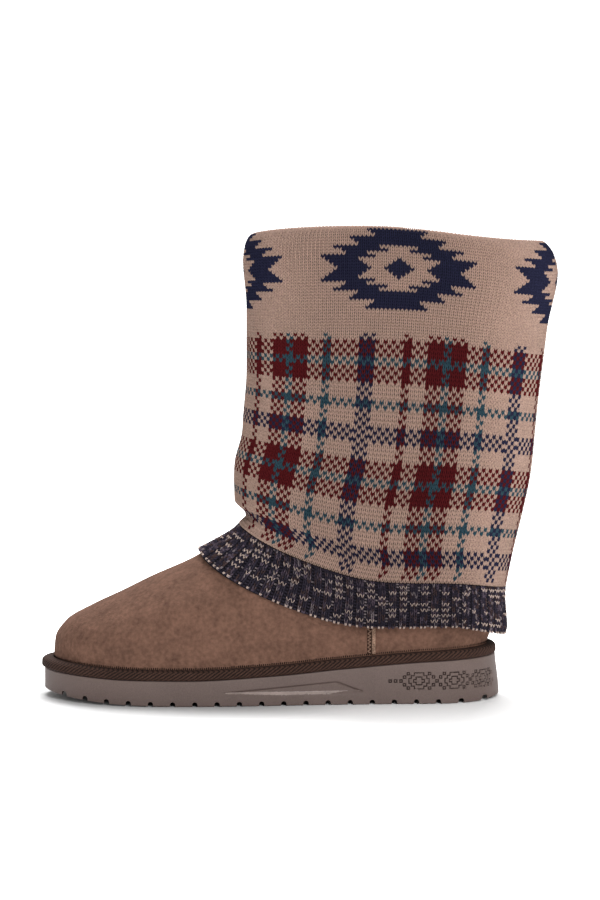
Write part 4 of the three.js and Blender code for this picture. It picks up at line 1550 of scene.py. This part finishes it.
@dataclass
class Stage:
    """The camera, floor and lights of the studio, in metres."""

    focus: tuple[float, float, float] = (0.0887, 0.0, 0.148)
    camera_place: tuple[float, float, float] = (0.0887, 1.9, 0.290)
    lens: float = 126.7
    floor_drop: float = 0.0002
    floor_half_width: float = 1.1
    glow_middle: tuple[float, float, float] = (0.1, 0.0, 0.0)
    glow_scale: tuple[float, float, float] = (0.7, 1.6, 1.0)
    glow_start: float = 0.085
    glow_full: float = 0.4
    # an ellipse of painted shadow on the floor's colour round the toe
    shade_middle: tuple[float, float, float] = (0.165, 0.03, 0.0)
    shade_scale: tuple[float, float, float] = (9.0, 9.5, 1.0)
    shade_start: float = 0.35
    shade_end: float = 1.15
    shaded_white: float = 0.5
    floor_white: float = 0.98
    surround_light: float = 0.43
    surround_seen: float = 1.0

    def camera(self) -> None:
        """Makes the camera at the photograph's angle."""
        data = bpy.data.cameras.new("camera")
        data.sensor_width = 36.0
        data.lens = self.lens
        data.clip_start, data.clip_end = 0.05, 50.0
        camera = bpy.data.objects.new("camera", data)
        bpy.context.scene.collection.objects.link(camera)
        camera.location = self.camera_place
        camera.rotation_euler = facing(self.camera_place, self.focus)
        bpy.context.scene.camera = camera

    @staticmethod
    def _distance(
        tree: ShaderTree, middle: Sequence[float], scale: Sequence[float]
    ) -> bpy.types.NodeSocket:
        """Returns the distance from a middle, scaled along each axis."""
        place = tree.node("ShaderNodeTexCoord").outputs["Object"]
        away = tree.node("ShaderNodeVectorMath", {0: place, 1: middle}, operation="SUBTRACT")
        scaled = {0: away.outputs["Vector"], 1: scale}
        wide = tree.node("ShaderNodeVectorMath", scaled, operation="MULTIPLY")
        length = tree.node("ShaderNodeVectorMath", {0: wide.outputs["Vector"]}, operation="LENGTH")
        return length.outputs["Value"]

    def floor(self) -> None:
        """Makes the white floor and backdrop; away from the boot they glow to an even white, and round the
        toe a painted shadow darkens the floor's colour.
        """
        bend = np.linspace(0.1, math.pi / 2, 12)
        depth = np.concatenate([np.linspace(2.0, -3.0, 13), -3.0 - np.sin(bend)])
        height = np.concatenate([np.zeros(13), 1.0 - np.cos(bend)])
        depth, height = np.append(depth, depth[-1]), np.append(height, 2.2) - self.floor_drop
        across = np.array([-self.floor_half_width, self.floor_half_width])
        points = np.stack(np.broadcast_arrays(across[None, :], depth[:, None], height[:, None]), axis=-1)
        data = grid_data(points, wrap_columns=False)
        mesh = bpy.data.meshes.new("floor")
        mesh.from_pydata(data.points.tolist(), [], data.faces.tolist())
        floor = bpy.data.objects.new("floor", mesh)
        bpy.context.scene.collection.objects.link(floor)
        material = bpy.data.materials.new("White studio floor")
        material.use_nodes = True
        tree = ShaderTree(material.node_tree)
        from_boot = self._distance(tree, self.glow_middle, self.glow_scale)
        rise = {"From Min": self.glow_start, "From Max": self.glow_full, "To Max": 1.0}
        glow = tree.node("ShaderNodeMapRange", {"Value": from_boot, **rise})
        # Painted shadow: the floor's colour darkens in an ellipse round the toe.
        from_toe = self._distance(tree, self.shade_middle, self.shade_scale)
        reach = {"From Min": self.shade_start, "From Max": self.shade_end}
        white = {"To Min": self.shaded_white, "To Max": self.floor_white}
        shade = tree.node(
            "ShaderNodeMapRange", {"Value": from_toe, **reach, **white}, interpolation_type="SMOOTHSTEP"
        )
        shader = material.node_tree.nodes["Principled BSDF"]
        material.node_tree.links.new(shade.outputs["Result"], shader.inputs["Base Color"])
        shader.inputs["Roughness"].default_value = 0.9
        shader.inputs["Specular IOR Level"].default_value = 0.1
        shader.inputs["Emission Color"].default_value = (1.0, 1.0, 1.0, 1.0)
        material.node_tree.links.new(glow.outputs["Result"], shader.inputs["Emission Strength"])
        mesh.materials.append(material)

    def light(self, lamp: Lamp) -> None:
        """Adds a light that faces the boot."""
        data = bpy.data.lights.new(lamp.name, "AREA")
        data.shape = "SQUARE"
        data.size = lamp.side
        data.energy = lamp.power
        light = bpy.data.objects.new(lamp.name, data)
        bpy.context.scene.collection.objects.link(light)
        light.location = lamp.place
        light.rotation_euler = facing(lamp.place, self.focus)

    def world(self) -> None:
        """Makes the plain white surroundings, brighter where the camera sees them than as light."""
        world = bpy.data.worlds.new("studio")
        world.use_nodes = True
        nodes, links = world.node_tree.nodes, world.node_tree.links
        lit, seen = nodes["Background"], nodes.new("ShaderNodeBackground")
        for background, strength in ((lit, self.surround_light), (seen, self.surround_seen)):
            background.inputs["Color"].default_value = (1.0, 1.0, 1.0, 1.0)
            background.inputs["Strength"].default_value = strength
        mix = nodes.new("ShaderNodeMixShader")
        path = nodes.new("ShaderNodeLightPath")
        links.new(path.outputs["Is Camera Ray"], mix.inputs[0])
        links.new(lit.outputs[0], mix.inputs[1])
        links.new(seen.outputs[0], mix.inputs[2])
        links.new(mix.outputs[0], nodes["World Output"].inputs["Surface"])
        bpy.context.scene.world = world
        bpy.context.scene.view_settings.view_transform = "Standard"

    def build(self) -> None:
        """Makes the floor, surroundings and lights."""
        self.floor()
        self.world()
        for lamp in LAMPS:
            self.light(lamp)


def main() -> None:
    """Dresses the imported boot."""
    logging.basicConfig(level=logging.INFO, format="%(message)s")
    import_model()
    stage = Stage()
    stage.camera()
    form = BootForm()
    effects = Effects()
    for piece in (
        Outsole(form, effects),
        Binding(form, effects),
        SuedeUpper(form, effects),
        Lining(form, effects),
        KnitSleeve(form, effects),
        RibBand(form, effects),
    ):
        piece.build()
    stage.build()


if __name__ == "__main__":
    main()
